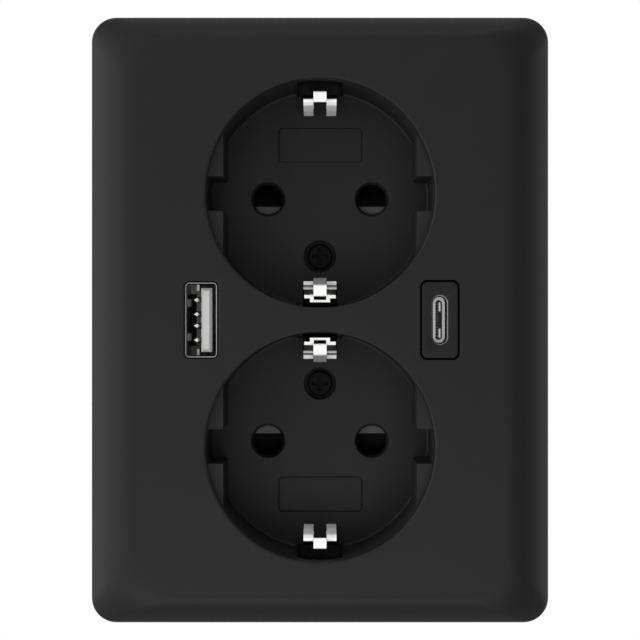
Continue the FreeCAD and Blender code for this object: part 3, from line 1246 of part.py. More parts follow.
def wide_port():
    """Wide charging port: folded shell, tongue with its block, and four sprung contacts."""
    front = "cover_height - usb_a_recess"
    back = f"{front} - usb_a_length"
    shell = new_body("usb_a_shell")
    outer = new_sketch(shell, back)
    centred(outer, "-usb_a_place", "0", "usb_a_across", "usb_a_upright", "2 * usb_a_sheet")
    pad(shell, outer, "usb_a_length")
    inner = new_sketch(shell, front)
    centred(inner, "-usb_a_place", "0", "usb_a_across - 2 * usb_a_sheet", "usb_a_upright - 2 * usb_a_sheet",
            "usb_a_sheet")
    pocket(shell, inner, "usb_a_length")

    tongue = new_body("usb_a_tongue")
    filler = new_sketch(tongue, back)
    centred(filler, "-usb_a_place", "0", "usb_a_across - 2 * usb_a_sheet - filler_play",
            "usb_a_upright - 2 * usb_a_sheet - filler_play", "usb_a_sheet")
    pad(tongue, filler, "tongue_block")
    right = "-usb_a_place + usb_a_across / 2 - usb_a_sheet - tongue_gap"
    blade = new_sketch(tongue, back)
    rectangle(blade, f"{right} - tongue_thick", right, "-tongue_upright / 2", "tongue_upright / 2")
    pad(tongue, blade, "usb_a_length + usb_a_recess - tongue_recess")
    run = new_sketch(tongue, f"{back} + tongue_block")
    rectangle(run, f"{right} - tongue_thick - 2 * usb_a_sheet", f"{right} - tongue_thick",
              "-tongue_upright / 2 + tongue_gap", "tongue_upright / 2 - tongue_gap")
    pocket(tongue, run, "tongue_block")

    leaf = size("leaf_sheet")
    half = size("leaf_half")
    tail = size(back) - size("leaf_tail")
    root = size(back) + size("tongue_block + leaf_root")
    face = size(f"{right} - tongue_thick") - leaf / 2 - size("leaf_gap")
    board = -size("usb_a_back")
    high = size("cover_height - tongue_recess")
    path = [(board, tail), (face, tail), (face, root), (face - size("leaf_rise"), high - size("leaf_crest")),
            (face, high - size("leaf_tip"))]
    solids = []
    for place in ("-leaf_far", "-leaf_near", "leaf_near", "leaf_far"):
        up = size(place)
        solids.append(strip_level(path, leaf, size("leaf_bend"), up - half, up + half))
    contacts = plain_part("usb_a_contacts", Part.makeCompound(solids))
    return [shell, tongue, contacts]


def small_port():
    """Small charging port: drawn shell, thin tongue, two rows of contacts and a rounded bezel."""
    front = "cover_height - usb_c_recess"
    back = f"{front} - usb_c_length"
    shell = new_body("usb_c_shell")
    outer = new_sketch(shell, back)
    centred(outer, "usb_c_place", "0", "usb_c_across", "usb_c_upright", "usb_c_across / 2 - usb_c_flat")
    pad(shell, outer, "usb_c_length")
    inner = new_sketch(shell, front)
    centred(inner, "usb_c_place", "0", "usb_c_across - 2 * usb_c_sheet", "usb_c_upright - 2 * usb_c_sheet",
            "usb_c_across / 2 - usb_c_sheet - usb_c_flat")
    pocket(shell, inner, "usb_c_length")

    tongue = new_body("usb_c_tongue")
    filler = new_sketch(tongue, back)
    centred(filler, "usb_c_place", "0", "usb_c_across - 2 * usb_c_sheet - filler_play",
            "usb_c_upright - 2 * usb_c_sheet - filler_play", "usb_c_across / 2 - usb_c_sheet - filler_play")
    pad(tongue, filler, "blade_block")
    blade = new_sketch(tongue, back)
    centred(blade, "usb_c_place", "0", "blade_thick", "blade_upright")
    pad(tongue, blade, "usb_c_length - blade_recess")

    low = size(f"{back} + blade_block")
    high = size(f"{front} - lead_recess")
    half = size("lead_half")
    solids = []
    for side in (-1, 1):
        face = size("usb_c_place") + side * size("blade_thick") / 2
        left, right = sorted((face, face + side * size("lead_raise")))
        for number in range(LEADS):
            up = (number - (LEADS - 1) / 2) * size("lead_pitch")
            solids.append(solid_block(left, right, low, high, up - half, up + half))
    contacts = plain_part("usb_c_contacts", Part.makeCompound(solids))

    bezel = new_body("usb_c_bezel")
    face = new_sketch(bezel, "cover_height - bezel_depth")
    centred(face, "usb_c_place", "0", "bezel_across", "bezel_upright", "bezel_corner")
    pad(bezel, face, "bezel_depth")
    flange = new_sketch(bezel, "lip_level - bezel_flange")
    centred(flange, "usb_c_place", "0", "bezel_across + 2 * bezel_lip", "bezel_upright + 2 * bezel_lip",
            "bezel_corner")
    pad(bezel, flange, "bezel_flange")
    hole = new_sketch(bezel, "cover_height")
    centred(hole, "usb_c_place", "0", "usb_c_across + 2 * bezel_hole_play",
            "usb_c_upright + 2 * bezel_hole_play", "usb_c_across / 2")
    pocket(bezel, hole, "bezel_depth + bezel_flange")
    return [shell, tongue, contacts, bezel]


parts = front_cover()
for name, upper in (("upper", True), ("lower", False)):
    parts += cup(name + "_cup", upper)
    parts += shutter(name + "_shutter", upper)
    parts += shutter_spring(name + "_shutter_spring", upper)
    parts += earth_clip(name + "_earth_clip", upper)
    parts += cover_screw(name + "_cover_screw", upper)
parts += base_housing()
parts += mounting_frame()
parts += frame_rivets()
parts += rear_cover()
parts += rear_cover_screws()
parts += earth_link()
parts += busbar("live_busbar", 1)
parts += busbar("neutral_busbar", -1)
parts += terminal_clamps()
parts += terminal_screws()
parts += boards()
parts += power_parts()
parts += wide_port()
parts += small_port()
doc.recompute()

for item in doc.Objects:
    if "Invalid" in item.State or "Error" in item.State:
        raise ValueError(f"{item.Label} failed: {item.State}")
for part in parts:
    if part.Shape.isNull() or not part.Shape.isValid() or not part.Shape.Solids:
        raise ValueError(f"{part.Label} has no valid solid")
    part.Shape.exportStep(f"parts/{part.Label}.step")
    print(f"{part.Label}: {len(part.Shape.Solids)} solid, {part.Shape.Volume:.1f} cubic mm")
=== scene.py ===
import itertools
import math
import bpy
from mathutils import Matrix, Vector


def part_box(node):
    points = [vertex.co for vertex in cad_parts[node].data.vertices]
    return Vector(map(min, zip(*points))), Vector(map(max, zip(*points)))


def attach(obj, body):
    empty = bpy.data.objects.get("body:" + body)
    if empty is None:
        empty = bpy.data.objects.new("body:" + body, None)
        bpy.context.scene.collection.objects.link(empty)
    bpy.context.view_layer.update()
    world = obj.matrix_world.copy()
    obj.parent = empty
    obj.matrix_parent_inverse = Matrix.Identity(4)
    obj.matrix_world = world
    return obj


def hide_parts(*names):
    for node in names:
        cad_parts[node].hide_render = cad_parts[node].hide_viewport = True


bl_info = {
    "name": "Double wall socket with charging ports",
    "version": (1, 0, 0),
    "blender": (4, 5, 0),
    "location": "View3D > Sidebar > Wall socket",
    "description": "Dresses the packed wall socket: cover, recess inserts, clips, ports, base and studio",
    "category": "Object",
}

import bmesh
import bpy
from bpy.props import FloatProperty, FloatVectorProperty, IntProperty, PointerProperty
from mathutils import Matrix, Vector

# X runs to the right, Z up and Y into the wall, whose plane is Y = 0. A height is measured out of the
# wall, so it lies at Y = -height. The upper recess is about Z = +pitch / 2 and the lower one is the
# same turned round.

MM = 0.001
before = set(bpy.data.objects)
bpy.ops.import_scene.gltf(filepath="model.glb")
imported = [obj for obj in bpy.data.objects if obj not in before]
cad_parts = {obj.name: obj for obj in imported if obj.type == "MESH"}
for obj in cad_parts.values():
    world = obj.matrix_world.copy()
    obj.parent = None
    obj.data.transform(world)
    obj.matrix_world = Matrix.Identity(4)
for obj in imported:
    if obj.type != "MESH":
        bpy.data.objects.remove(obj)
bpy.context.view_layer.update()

SAME = 1e-6     # vertices closer together than this are one
NEAR = 0.05 * MM    # a vertex this close to a level or a circle counts as lying on it
ROUND_END = 0.05 * MM   # what a rounded end's radius lacks of the half width, so that no edge vanishes
WAVE_BANDS = 20 / (2 * math.pi)     # bands that a wave texture draws in one unit at scale 1


def linear(code):
    """The linear colour of an sRGB hex value."""
    parts = [int(code[place:place + 2], 16) / 255 for place in (1, 3, 5)]
    return tuple(p / 12.92 if p <= 0.04045 else ((p + 0.055) / 1.055) ** 2.4 for p in parts)


def length(name, description, default):
    """A length that a user may change, in metres, from a default in millimetres."""
    return FloatProperty(name=name, description=description, default=default * MM, min=0.0, max=0.5,
                         unit="LENGTH", precision=5)


def paint(name, description, code):
    """A colour that a user may change."""
    return FloatVectorProperty(name=name, description=description, default=linear(code), size=3,
                               min=0.0, max=1.0, subtype="COLOR")


class CoverSizes(bpy.types.PropertyGroup):
    """Sizes of the front cover."""
    width: length("Width", "Cover from side to side", 80.0)
    height: length("Height", "Cover from bottom to top", 106.0)
    depth: length("Depth", "Front of the cover out of the wall", 27.0)
    corner: length("Corner", "Corner radius at the side walls", 4.3)
    crown_side: length("Crown at the sides", "Width of the curved edge at left and right", 8.0)
    crown_end: length("Crown at the ends", "Width of the curved edge at top and bottom", 4.8)
    crown_drop: length("Crown drop", "How far the curved edge falls", 3.2)
    flat_corner: length("Flat corner", "Corner radius of the flat front", 8.0)
    edge_round: length("Edge rounding", "Rounding where the curved edge meets the side wall", 0.45)
    wall: length("Side wall", "Thickness of the side walls", 2.2)
    front: length("Front wall", "Thickness of the front", 2.4)
    pitch: length("Recess pitch", "Between the middles of the two recesses", 44.18)
    opening: length("Recess radius", "Radius of a recess", 19.94)
    rim_round: length("Rim rounding", "Rounding of the recess edges", 0.4)
    post_side: length("Stake posts across", "Stake posts from the middle", 23.4)
    crown_rings: IntProperty(name="Crown rings", description="Rings of faces across the curved edge",
                             default=14, min=3, max=40)


class RecessSizes(bpy.types.PropertyGroup):
    """Sizes of the recess inserts."""
    edge_round: length("Edge rounding", "Rounding of the insert's hard edges", 0.12)
    floor: length("Floor level", "Recess floor out of the wall", 9.5)
    floor_fillet: length("Floor fillet", "Fillet where the recess wall meets the floor", 0.5)
    pin_pitch: length("Pin pitch", "Between the two pins of a plug", 19.0)
    pin_hole: length("Pin hole", "Radius of a pin hole", 2.7)
    pin_mouth: length("Pin mouth", "Radius of a pin hole's mouth", 3.12)
    pin_funnel: length("Pin funnel", "Depth over which the mouth narrows to the hole", 1.35)
    screw_offset: length("Screw offset", "Cover screw from the pins", 10.49)
    well: length("Screw well", "Radius of the screw's well", 2.93)
    well_level: length("Well level", "Top of the screw's head out of the wall", 8.0)
    well_floor: length("Well floor", "Bottom of the well out of the wall", 6.4)
    bridge_half: length("Bridge", "Half the width of the floor between the side fingers", 1.08)
    bridge_start: length("Bridge start", "Start of that floor from the pins", 16.4)
    bridge_end: length("Bridge end", "End of that floor from the pins at the outer clip", 17.9)
    bridge_inner: length("Inner bridge end", "End of that floor from the pins at the inner clip", 17.4)
    bridge_drop: length("Bridge thickness", "Thickness of that floor", 1.8)


class ClipSizes(bpy.types.PropertyGroup):
    """Sizes of the earth clips."""
    sheet: length("Sheet", "Thickness of the fingers", 0.22)
    strap_sheet: length("Strap sheet", "Thickness of the strap", 0.5)
    strap_level: length("Strap level", "Front of the strap out of the wall", 5.2)
    half_width: length("Half width", "Half the width of the strap", 2.91)
    wide_end: length("Wide end", "Full width of the strap from the pins", 18.07)
    neck_half: length("Neck half width", "Half the width of the strap's narrow end", 1.86)
    neck_end: length("Neck end", "End of the strap from the pins", 18.8)
    hole_start: length("Hole start", "Hole that the middle finger leaves, near edge", 17.5)
    hole_end: length("Hole end", "Hole that the middle finger leaves, far edge", 18.36)
    middle_half: length("Middle finger", "Half the width of the middle finger", 1.14)
    slit: length("Slit", "Gap between two fingers", 0.05)
    screw_hole: length("Screw hole", "Radius of the hole for the cover screw", 1.56)
    # Painted shade: the earth link is coloured nearly black up to this distance from the middle, where it
    # shows in the screw's well.
    link_shade: length("Varnish", "Varnished part of the earth link, from the middle", 5.5)
    bend: length("Bend", "Bend radius of the side fingers", 0.15)
    fold: length("Fold", "Bend radius of the middle finger", 0.3)


class PortSizes(bpy.types.PropertyGroup):
    """Sizes of the charging ports."""
    sheet: length("Shell sheet", "Thickness of both ports' shells", 0.3)
    edge: length("Shell edge", "Rounding of the shells' front edges", 0.14)
    wide_corner: length("Wide port corner", "Corner radius of the wide port's shell", 0.8)
    wide_play: length("Wide port gap", "Gap round the wide port's shell", 0.12)
    wide_round: length("Wide port edge", "Rounding of the cover round the wide port", 0.3)
    block_depth: length("Tongue block", "Block of the wide port behind the front", 9.75)
    pocket_half: length("Pocket", "Half the height of the pocket in the block", 4.65)
    pocket_reach: length("Pocket width", "Pocket from the block's side", 1.07)
    tongue_depth: length("Tongue", "Both ports' tongues behind the front", 1.2)
    tongue_half: length("Tongue height", "Half the height of the wide tongue", 5.56)
    tongue_right: length("Tongue side", "Tongue's far side from the middle of the port", 1.82)
    tongue_thick: length("Tongue thickness", "Thickness of the wide tongue", 1.9)
    chamfer: length("Tongue chamfer", "Chamfer of the wide tongue's front edges", 0.48)
    bezel_play: length("Bezel gap", "Gap round the small port's bezel", 0.1)
    bezel_lip: length("Bezel flange", "Width of the bezel's flange", 0.6)
    bezel_depth: length("Bezel depth", "Depth of the bezel in the cover", 2.4)
    bezel_corner: length("Bezel corner", "Corner radius of the bezel", 1.1)
    bezel_slope: length("Bezel slope", "How far the bezel's side slopes in towards its front", 0.3)
    slope_depth: length("Bezel slope depth", "Depth over which the bezel's side slopes", 0.9)
    hole_half: length("Bezel hole", "Half the width of the hole in the bezel", 1.475)
    hole_upright: length("Bezel hole, upright", "Half the height of the hole in the bezel", 4.335)
    hole_lip: length("Bezel lip", "Depth of the narrow part of that hole", 0.45)
    shell_play: length("Shell gap", "Gap between the bezel and the small port's shell", 0.08)
    plate_depth: length("Ground plate", "Ground plate of the small port behind the front", 3.0)
    plate_side: length("Plate", "Half the width of the ground plate", 1.1)
    plate_half: length("Plate opening", "Half the width of the opening in the ground plate", 0.535)
    plate_upright: length("Plate opening, upright", "Half the height of that opening", 3.35)
    small_block: length("Small block", "Block of the small port behind the front", 6.2)
    blade_half: length("Small tongue", "Half the thickness of the small tongue", 0.35)
    blade_upright: length("Small tongue, upright", "Half the height of the small tongue", 3.33)


class SocketFinishes(bpy.types.PropertyGroup):
    """Colours of the finishes."""
    cover: paint("Cover", "Matt moulded cover", "#1c1c1d")
    recess: paint("Recess", "Matt moulded recess inserts", "#212122")
    bezel: paint("Bezel", "Satin moulded bezel of the small port", "#191919")
    shutter: paint("Shutter", "Plain moulded shutters", "#3c3c3e")
    base: paint("Base", "Thermoset base", "#1b1b1c")
    clip: paint("Clip", "Tinned earth clips", "#fafaf8")
    brass: paint("Brass", "Stamped brass contacts", "#c9a25f")
    zinc: paint("Zinc", "Zinc-plated sheet", "#b4b7bb")
    steel: paint("Steel", "Stainless sheet of the ports", "#6c6c6c")
    blackened: paint("Blackened steel", "Cover screws", "#0f0f10")
    tongue: paint("Tongue", "Light tongue of the wide port", "#b4b4b2")
    lacquer: paint("Board", "Green lacquer of the boards", "#14442c")
    copper: paint("Copper", "Enamelled winding wire", "#b0642a")
    gold: paint("Gold", "Gold-plated contacts of the ports", "#cfc8b8")


# ---- materials


def add(tree, kind, inputs=None, **settings):
    """Adds a node, with its settings, and its sockets set to a value or linked to another node's."""
    node = tree.nodes.new(kind)
    for name, value in settings.items():
        setattr(node, name, value)
    for name, value in (inputs or {}).items():
        if isinstance(value, bpy.types.NodeSocket):
            tree.links.new(value, node.inputs[name])
        else:
            node.inputs[name].default_value = value
    return node


def shade(colour, share):
    """A colour made lighter or darker, for a colour socket."""
    return tuple(min(1.0, part * share) for part in colour) + (1.0,)


def new_finish(name, sockets):
    """A material whose shader takes its sockets from a function of the tree and Object coordinates."""
    material = bpy.data.materials.new(name)
    material.use_nodes = True
    tree = material.node_tree
    tree.nodes.clear()
    place = add(tree, "ShaderNodeTexCoord").outputs["Object"]
    shader = add(tree, "ShaderNodeBsdfPrincipled", sockets(tree, place))
    add(tree, "ShaderNodeOutputMaterial", {"Surface": shader.outputs["BSDF"]})
    return material


def clouded(tree, place, size, colour, share):
    """A colour that clouds a little, in patches of a size in millimetres."""
    patch = add(tree, "ShaderNodeTexNoise", {"Vector": place, "Scale": 1 / (size * MM), "Detail": 3.0})
    return add(tree, "ShaderNodeMix", {0: patch.outputs[0], 6: shade(colour, 1 - share),
                                       7: shade(colour, 1 + share)}, data_type="RGBA").outputs[2]


def textured(tree, place, grain, dull, rough, depth):
    """Roughness and relief of a grain, whose size and depth are in millimetres."""
    grit = add(tree, "ShaderNodeTexNoise", {"Vector": place, "Scale": 1 / (grain * MM), "Detail": 2.0})
    sheen = add(tree, "ShaderNodeMapRange", {0: grit.outputs[0], 1: 0.3, 2: 0.7, 3: dull, 4: rough})
    relief = add(tree, "ShaderNodeBump", {"Height": grit.outputs[0], "Distance": depth * MM})
    return {"Roughness": sheen.outputs[0], "Normal": relief.outputs[0]}


def moulded(colour, level, roughness, grain, depth, cloud=0.06):
    """Moulded plastic: pigment that clouds a little over some millimetres, and the grain of the
    spark-eroded tool, which breaks up the gloss. Grain and depth are in millimetres."""
    def sockets(tree, place):
        return {"Base Color": clouded(tree, place, 7, colour, cloud), "Specular IOR Level": level,
                **textured(tree, place, grain, roughness - 0.04, roughness + 0.04, depth)}
    return sockets


def rolled(colour, roughness, grain, along, metallic=1.0, stain=0.08):
    """Rolled or drawn metal: fine lines along the rolling direction, and a faint stain. Grain is the
    line spacing in millimetres, and along says how much longer the lines are on each axis."""
    def sockets(tree, place):
        lie = add(tree, "ShaderNodeMapping", {"Vector": place, "Scale": [1 / part for part in along]})
        return {"Base Color": clouded(tree, place, 4, colour, stain), "Metallic": metallic,
                **textured(tree, lie.outputs[0], grain, roughness * 0.8, roughness * 1.2, 0.002)}
    return sockets


def wound(colour):
    """Enamelled copper wire wound side by side round the core: ridges 2.2 mm apart, coarser than the
    wire, so that they show."""
    def sockets(tree, place):
        turns = add(tree, "ShaderNodeTexWave", {"Vector": place, "Scale": 1 / (2.2 * MM) / WAVE_BANDS,
                                                "Distortion": 0.2}, bands_direction="Y")
        # Painted shade: the colour darkens in the grooves between turns.
        groove_shade = add(tree, "ShaderNodeMix", {0: turns.outputs[1], 6: shade(colour, 0.45),
                                           7: shade(colour, 1.1)}, data_type="RGBA")
        relief = add(tree, "ShaderNodeBump", {"Height": turns.outputs[1], "Distance": 0.1 * MM})
        return {"Base Color": groove_shade.outputs[2], "Metallic": 1.0, "Roughness": 0.3,
                "Normal": relief.outputs[0]}
    return sockets


def etched(colour):
    """Glass-fibre board under green lacquer: copper tracks show as lighter stepped lines under it, and
    the glass weave, drawn coarse, as a faint relief."""
    def sockets(tree, place):
        tracks = add(tree, "ShaderNodeTexBrick",
                     {"Vector": place, "Scale": 1.0, "Mortar Size": 0.35 * MM, "Brick Width": 5 * MM,
                      "Row Height": 1.7 * MM, "Color1": shade(colour, 1.0), "Color2": shade(colour, 0.85),
                      "Mortar": shade(colour, 1.9)})
        weave = add(tree, "ShaderNodeTexWave", {"Vector": place, "Scale": 1 / (3.77 * MM) / WAVE_BANDS})
        relief = add(tree, "ShaderNodeBump", {"Height": weave.outputs[1], "Distance": 0.02 * MM})
        return {"Base Color": tracks.outputs[0], "Roughness": 0.35, "Normal": relief.outputs[0]}
    return sockets


def finish_for(slot):
    """The material of one of the record's slots, made when it is first asked for."""
    look = bpy.context.scene.wall_socket_finishes
    makers = {
        # Matt ABS from a spark-eroded tool: dull and even, with a faint sheen on curved edges only.
        "cover_plastic": ("matt_moulded_abs", moulded(look.cover, 0.11, 0.38, 0.22, 0.004)),
        # The inserts' ABS is from a finer tool, so the recess is a little smoother than the cover.
        "cup_plastic": ("fine_moulded_abs", moulded(look.recess, 0.11, 0.42, 0.18, 0.003)),
        # Satin ABS of the bezel: smoother than the cover beside it.
        "bezel_plastic": ("satin_moulded_abs", moulded(look.bezel, 0.12, 0.34, 0.3, 0.002)),
        # Plain acetal: slides well, and looks waxy.
        "shutter_plastic": ("moulded_acetal", moulded(look.shutter, 0.25, 0.45, 0.3, 0.003)),
        # Painted shade: the ramps are coloured nearly black, so that from the front they look as dark as
        # the shade they lie in.
        "shaded_ramp": ("shaded_ramp_acetal", moulded(linear("#0e0e0f"), 0.08, 0.5, 0.3, 0.002)),
        # Pressed urea: dull, with a coarser surface than ABS.
        "base_plastic": ("pressed_urea", moulded(look.base, 0.25, 0.5, 0.3, 0.008, 0.12)),
        # Hard-drawn spring wire: bright, with lines along the wire.
        "spring_steel": ("drawn_spring_wire", rolled(look.zinc, 0.25, 0.08, (1, 1, 6))),
        # Tinned bronze strip: a soft white metal shine.
        "clip_metal": ("satin_tinned_bronze", rolled(look.clip, 0.4, 0.15, (1, 6, 6), 0.12, 0.02)),
        # The strap is flat and bright, so it mirrors the light in front of the socket.
        "strap_metal": ("bright_tinned_bronze", rolled(look.clip, 0.1, 0.3, (6, 1, 1), 1.0, 0.03)),
        # Painted shade in part: some faces of the inner clips' fingers are given a darker grey, and their
        # mirror-like finish also mirrors the dark recess.
        "shaded_mirror_metal": ("shaded_mirror_bronze", rolled(linear("#949492"), 0.35, 0.4, (1, 6, 6), 0.9, 0.03)),
        # Painted shade: the steep face of the inner middle finger is coloured a dull grey where it lies
        # in shade. The wide port's sprung tabs take this grey too.
        "matt_grey_metal": ("matt_grey_sheet", rolled(linear("#9a9a98"), 0.45, 0.4, (1, 6, 6), 0.15, 0.03)),
        # Stamped brass: yellow, with rolling lines.
        "contact_metal": ("stamped_brass", rolled(look.brass, 0.3, 0.12, (1, 6, 6))),
        # Painted shade: the part of the earth link seen in the screw's well is coloured nearly black, as
        # dark as the shade there.
        "link_shade": ("painted_link_shade", moulded(linear("#0c0c0c"), 0.05, 0.5, 0.4, 0.002)),
        # Zinc-plated sheet: grey, cloudy shine. The screws and rivets are a little brighter.
        "frame_metal": ("zinc_plated_sheet", rolled(look.zinc, 0.38, 0.3, (6, 1, 1), 1.0, 0.15)),
        "bright_screw_metal": ("zinc_plated_steel", rolled(look.zinc, 0.3, 0.2, (1, 1, 1), 1.0, 0.12)),
        # Blackened steel: nearly black with a dull metal gleam.
        "screw_metal": ("blackened_steel", rolled(look.blackened, 0.5, 0.2, (1, 1, 1), 0.95, 0.15)),
        # Boards: glossy green with pale tracks.
        "board": ("lacquered_board", etched(look.lacquer)),
        # Ground ferrite: dark grey, dense and dull.
        "ferrite": ("ground_ferrite", moulded(linear("#3a3a3d"), 0.5, 0.45, 0.15, 0.006, 0.15)),
        # Winding: ridged reddish metal, with painted shade in the grooves.
        "copper_coil": ("wound_copper", wound(look.copper)),
        # Plain PVC sleeve shrunk on an aluminium can: dark blue and smooth.
        "capacitor_sleeve": ("shrunk_sleeve", moulded(linear("#1a2238"), 0.5, 0.25, 0.5, 0.004)),
        # Moulded epoxy of the chips: dull, nearly black.
        "chip_plastic": ("moulded_epoxy", moulded(linear("#232324"), 0.4, 0.55, 0.12, 0.006, 0.1)),
        # Stainless sheet of the shells: mid grey, with the lines of rolling along the port.
        "port_metal": ("rolled_stainless", rolled(look.steel, 0.25, 0.1, (1, 8, 1))),
        # The ground plate inside the small port is bright tin.
        "plate_metal": ("bright_tin", rolled(linear("#b0b0b0"), 0.3, 0.1, (1, 1, 6))),
        # Glass-filled liquid-crystal plastic: chalky.
        "tongue_plastic": ("light_crystal_plastic", moulded(look.tongue, 0.4, 0.5, 0.15, 0.005)),
        # The dark one is the small tongue's own plastic, and it also paints the floor of the wide block's
        # pocket black as shade.
        "dark_tongue_plastic": ("dark_plastic_and_pocket_shade",
                                moulded(linear("#131313"), 0.15, 0.5, 0.15, 0.005)),
        # The noses of the contacts are burnished by plugs and look white.
        "nose_metal": ("burnished_nickel", rolled(linear("#e8e8e6"), 0.35, 0.2, (1, 6, 1), 0.3, 0.03)),
        # Flash gold on the sprung leaves: thin and pale, so only warm in tone.
        "port_gold": ("flash_gold", rolled(look.gold, 0.2, 0.1, (1, 6, 1))),
        # Painted board of the floor: plain, nearly white.
        "floor": ("painted_board", moulded(linear("#f0f0ee"), 0.3, 0.6, 0.6, 0.01, 0.01)),
        # Black felt of the studio flag: swallows the light, so what mirrors it is dark.
        "flag": ("black_felt", moulded(linear("#050505"), 0.0, 0.9, 0.8, 0.05, 0.2)),
    }
    name, sockets = makers[slot]
    return bpy.data.materials.get(name) or new_finish(name, sockets)


# Front faces of an earth clip's fingers, from the foot in the strap over the fold to the free end:
# distance from the pins and depth behind the cover's front, in millimetres. The inner clips, which face
# the middle of the socket, are bent otherwise than the outer ones.
OUTER_SIDE = ((17.49, 21.9), (16.79, 4.3), (16.27, 4.3), (15.66, 5.0), (15.19, 10.4), (15.08, 16.4))
OUTER_MIDDLE = ((18.1, 21.9), (17.99, 3.06), (16.05, 3.2), (16.5, 6.0), (17.0, 10.0))
INNER_SIDE = ((17.49, 21.9), (16.79, 4.3), (16.27, 4.3), (15.97, 7.6), (15.19, 8.3), (15.08, 16.4))
INNER_MIDDLE = ((17.6, 21.9), (17.99, 3.06), (16.05, 3.2), (15.75, 4.4), (14.6, 7.6), (15.0, 12.0))
LEG_FROM = 16.7     # past this distance from the pins a face belongs to the leg behind the fold
SHADED_TO = 7.7     # depth to which the inner side fingers carry painted shade
SHADE_FROM = 4.2     # depth from which the inner middle finger carries painted shade
CLIP_SLOTS = ("clip_metal", "strap_metal", "shaded_mirror_metal", "matt_grey_metal")
TINNED, STRAP, SHADED_MIRROR, SHADED_GREY = range(len(CLIP_SLOTS))

# Cover and shutters. The cover's stake posts stand at these distances from a recess's middle, and are
# rings of a radius and a drop below the inside of the front, in millimetres.
POST_OFFSETS = (3.0, 20.5)
POST_RINGS = ((1.2, 0.0), (1.2, 1.6), (1.8, 1.6), (1.8, 2.0), (1.5, 2.3))
CROWN_SPREAD = 1.15     # above 1, the crown's rings lie closer together at the side wall
SMALL_ROUND = 0.05 * MM     # rounding of the cover round the small port, whose edge looks sharp
SHUTTER_ROUND, SCREW_ROUND = 0.12 * MM, 0.08 * MM   # edge roundings of shutters and cover screws
RAMP_AREA = (1.5 * MM) ** 2     # a shutter's sloping faces larger than this are its ramps, which get painted shade

# Ports. Depths count from the cover's front, and pairs of heights from the middle of the port.
NOSE_HEIGHTS = (-3.5, -1.0, 1.0, 3.5)   # noses of the sprung contacts, in millimetres
NOSE_SIDE, NOSE_DEPTH, NOSE_RADIUS = 0.95 * MM, 3.1 * MM, 0.5 * MM
# Sprung tabs of the wide shell: they slope from TIP inside the sheet at their start to REACH.
TAB_HEIGHTS, TAB_START, TAB_END = (2.37 * MM, 3.65 * MM), 3.0 * MM, 5.2 * MM
TAB_TIP, TAB_REACH, TAB_SUNK = 0.05 * MM, 0.56 * MM, 0.02 * MM
POCKET_FLOOR = 1.0 * MM     # height of the block pocket's floor, painted dark as shade, over the block's back
GUIDE_HEIGHTS = (5.1 * MM, 6.15 * MM)   # bars that guide a plug above and below the wide tongue
GUIDE_DEPTH, GUIDE_LEFT, GUIDE_RIGHT = 2.5 * MM, 0.9 * MM, 0.45 * MM
BAR_HEIGHTS = (1.5 * MM, 3.05 * MM)     # bright bars on the front edge of the small tongue
BAR_HALF, BAR_PROUD, BAR_DEEP = 0.15 * MM, 0.03 * MM, 0.3 * MM
FINE_EDGE = 0.06 * MM       # edge rounding of the ground plate and the small tongue
PLATE_PLAY, PLATE_END = 0.07 * MM, 0.03 * MM    # gap round the plate; like ROUND_END for its opening
HOLDER_PLAY = 0.08 * MM     # gap round the foot of the small tongue
BEZEL_EDGE, MOUTH_EDGE = 0.08 * MM, 0.12 * MM   # edge roundings of the bezel and of its hole

# Studio, in metres, degrees and watts. The camera's distance and the width of its view at the cover's
# front come from the pin holes and recess rims.
CAMERA_DISTANCE, VIEW_WIDTH, SENSOR = 0.319, 0.11095, 36.0
DULL_GLOW, BRIGHT_GLOW = 0.6, 1.0   # surroundings as they light dull faces, and as they look
LAMP_AIM = Vector((0, -0.02, 0))    # the middle of the socket
FLOOR_RADIUS, FLOOR_THICK, FLOOR_LEVEL = 0.11, 0.006, -0.143
FLAG_PLACE, FLAG_TURN, FLAG_SIZE = (0.346, -0.427, 0), 39, (0.38, 1.2, 1.0)


# ---- shapes


def on_wall(x, height, z):
    """A place given by its height out of the wall."""
    return Vector((x, -height, z))


def ring(bm, half_x, half_z, corner, height, centre=(0.0, 0.0), steps=12):
    """Edges of a rounded rectangle parallel to the wall."""
    old_edges, old_faces = set(bm.edges), set(bm.faces)
    spots = [bm.verts.new(on_wall(centre[0] + side * half_x, height, centre[1] + end * half_z))
             for side, end in ((-1, -1), (1, -1), (1, 1), (-1, 1))]
    bm.faces.new(spots)
    bmesh.ops.bevel(bm, geom=spots, affect="VERTICES", offset=corner, offset_type="OFFSET",
                    segments=steps, profile=0.5, material=-1, clamp_overlap=False)
    bmesh.ops.delete(bm, geom=[face for face in bm.faces if face not in old_faces], context="FACES_ONLY")
    return [edge for edge in bm.edges if edge not in old_edges]


def circle(bm, radius, height, centre=(0.0, 0.0), steps=96):
    """Edges of a circle parallel to the wall."""
    made = bmesh.ops.create_circle(bm, cap_ends=False, radius=radius, segments=steps,
                                   matrix=Matrix.Translation(on_wall(centre[0], height, centre[1]))
                                   @ Matrix.Rotation(math.radians(90), 4, "X"))
    return list(dict.fromkeys(edge for vert in made["verts"] for edge in vert.link_edges))


def skin(bm, loops):
    """Faces from each loop of edges to the next."""
    for one, other in zip(loops, loops[1:]):
        bmesh.ops.bridge_loops(bm, edges=one + other)


def fill(bm, loops):
    """One flat face, with holes, between loops of edges parallel to the wall."""
    bmesh.ops.triangle_fill(bm, use_beauty=True, use_dissolve=False,
                            edges=[edge for loop in loops for edge in loop], normal=(0, -1, 0))


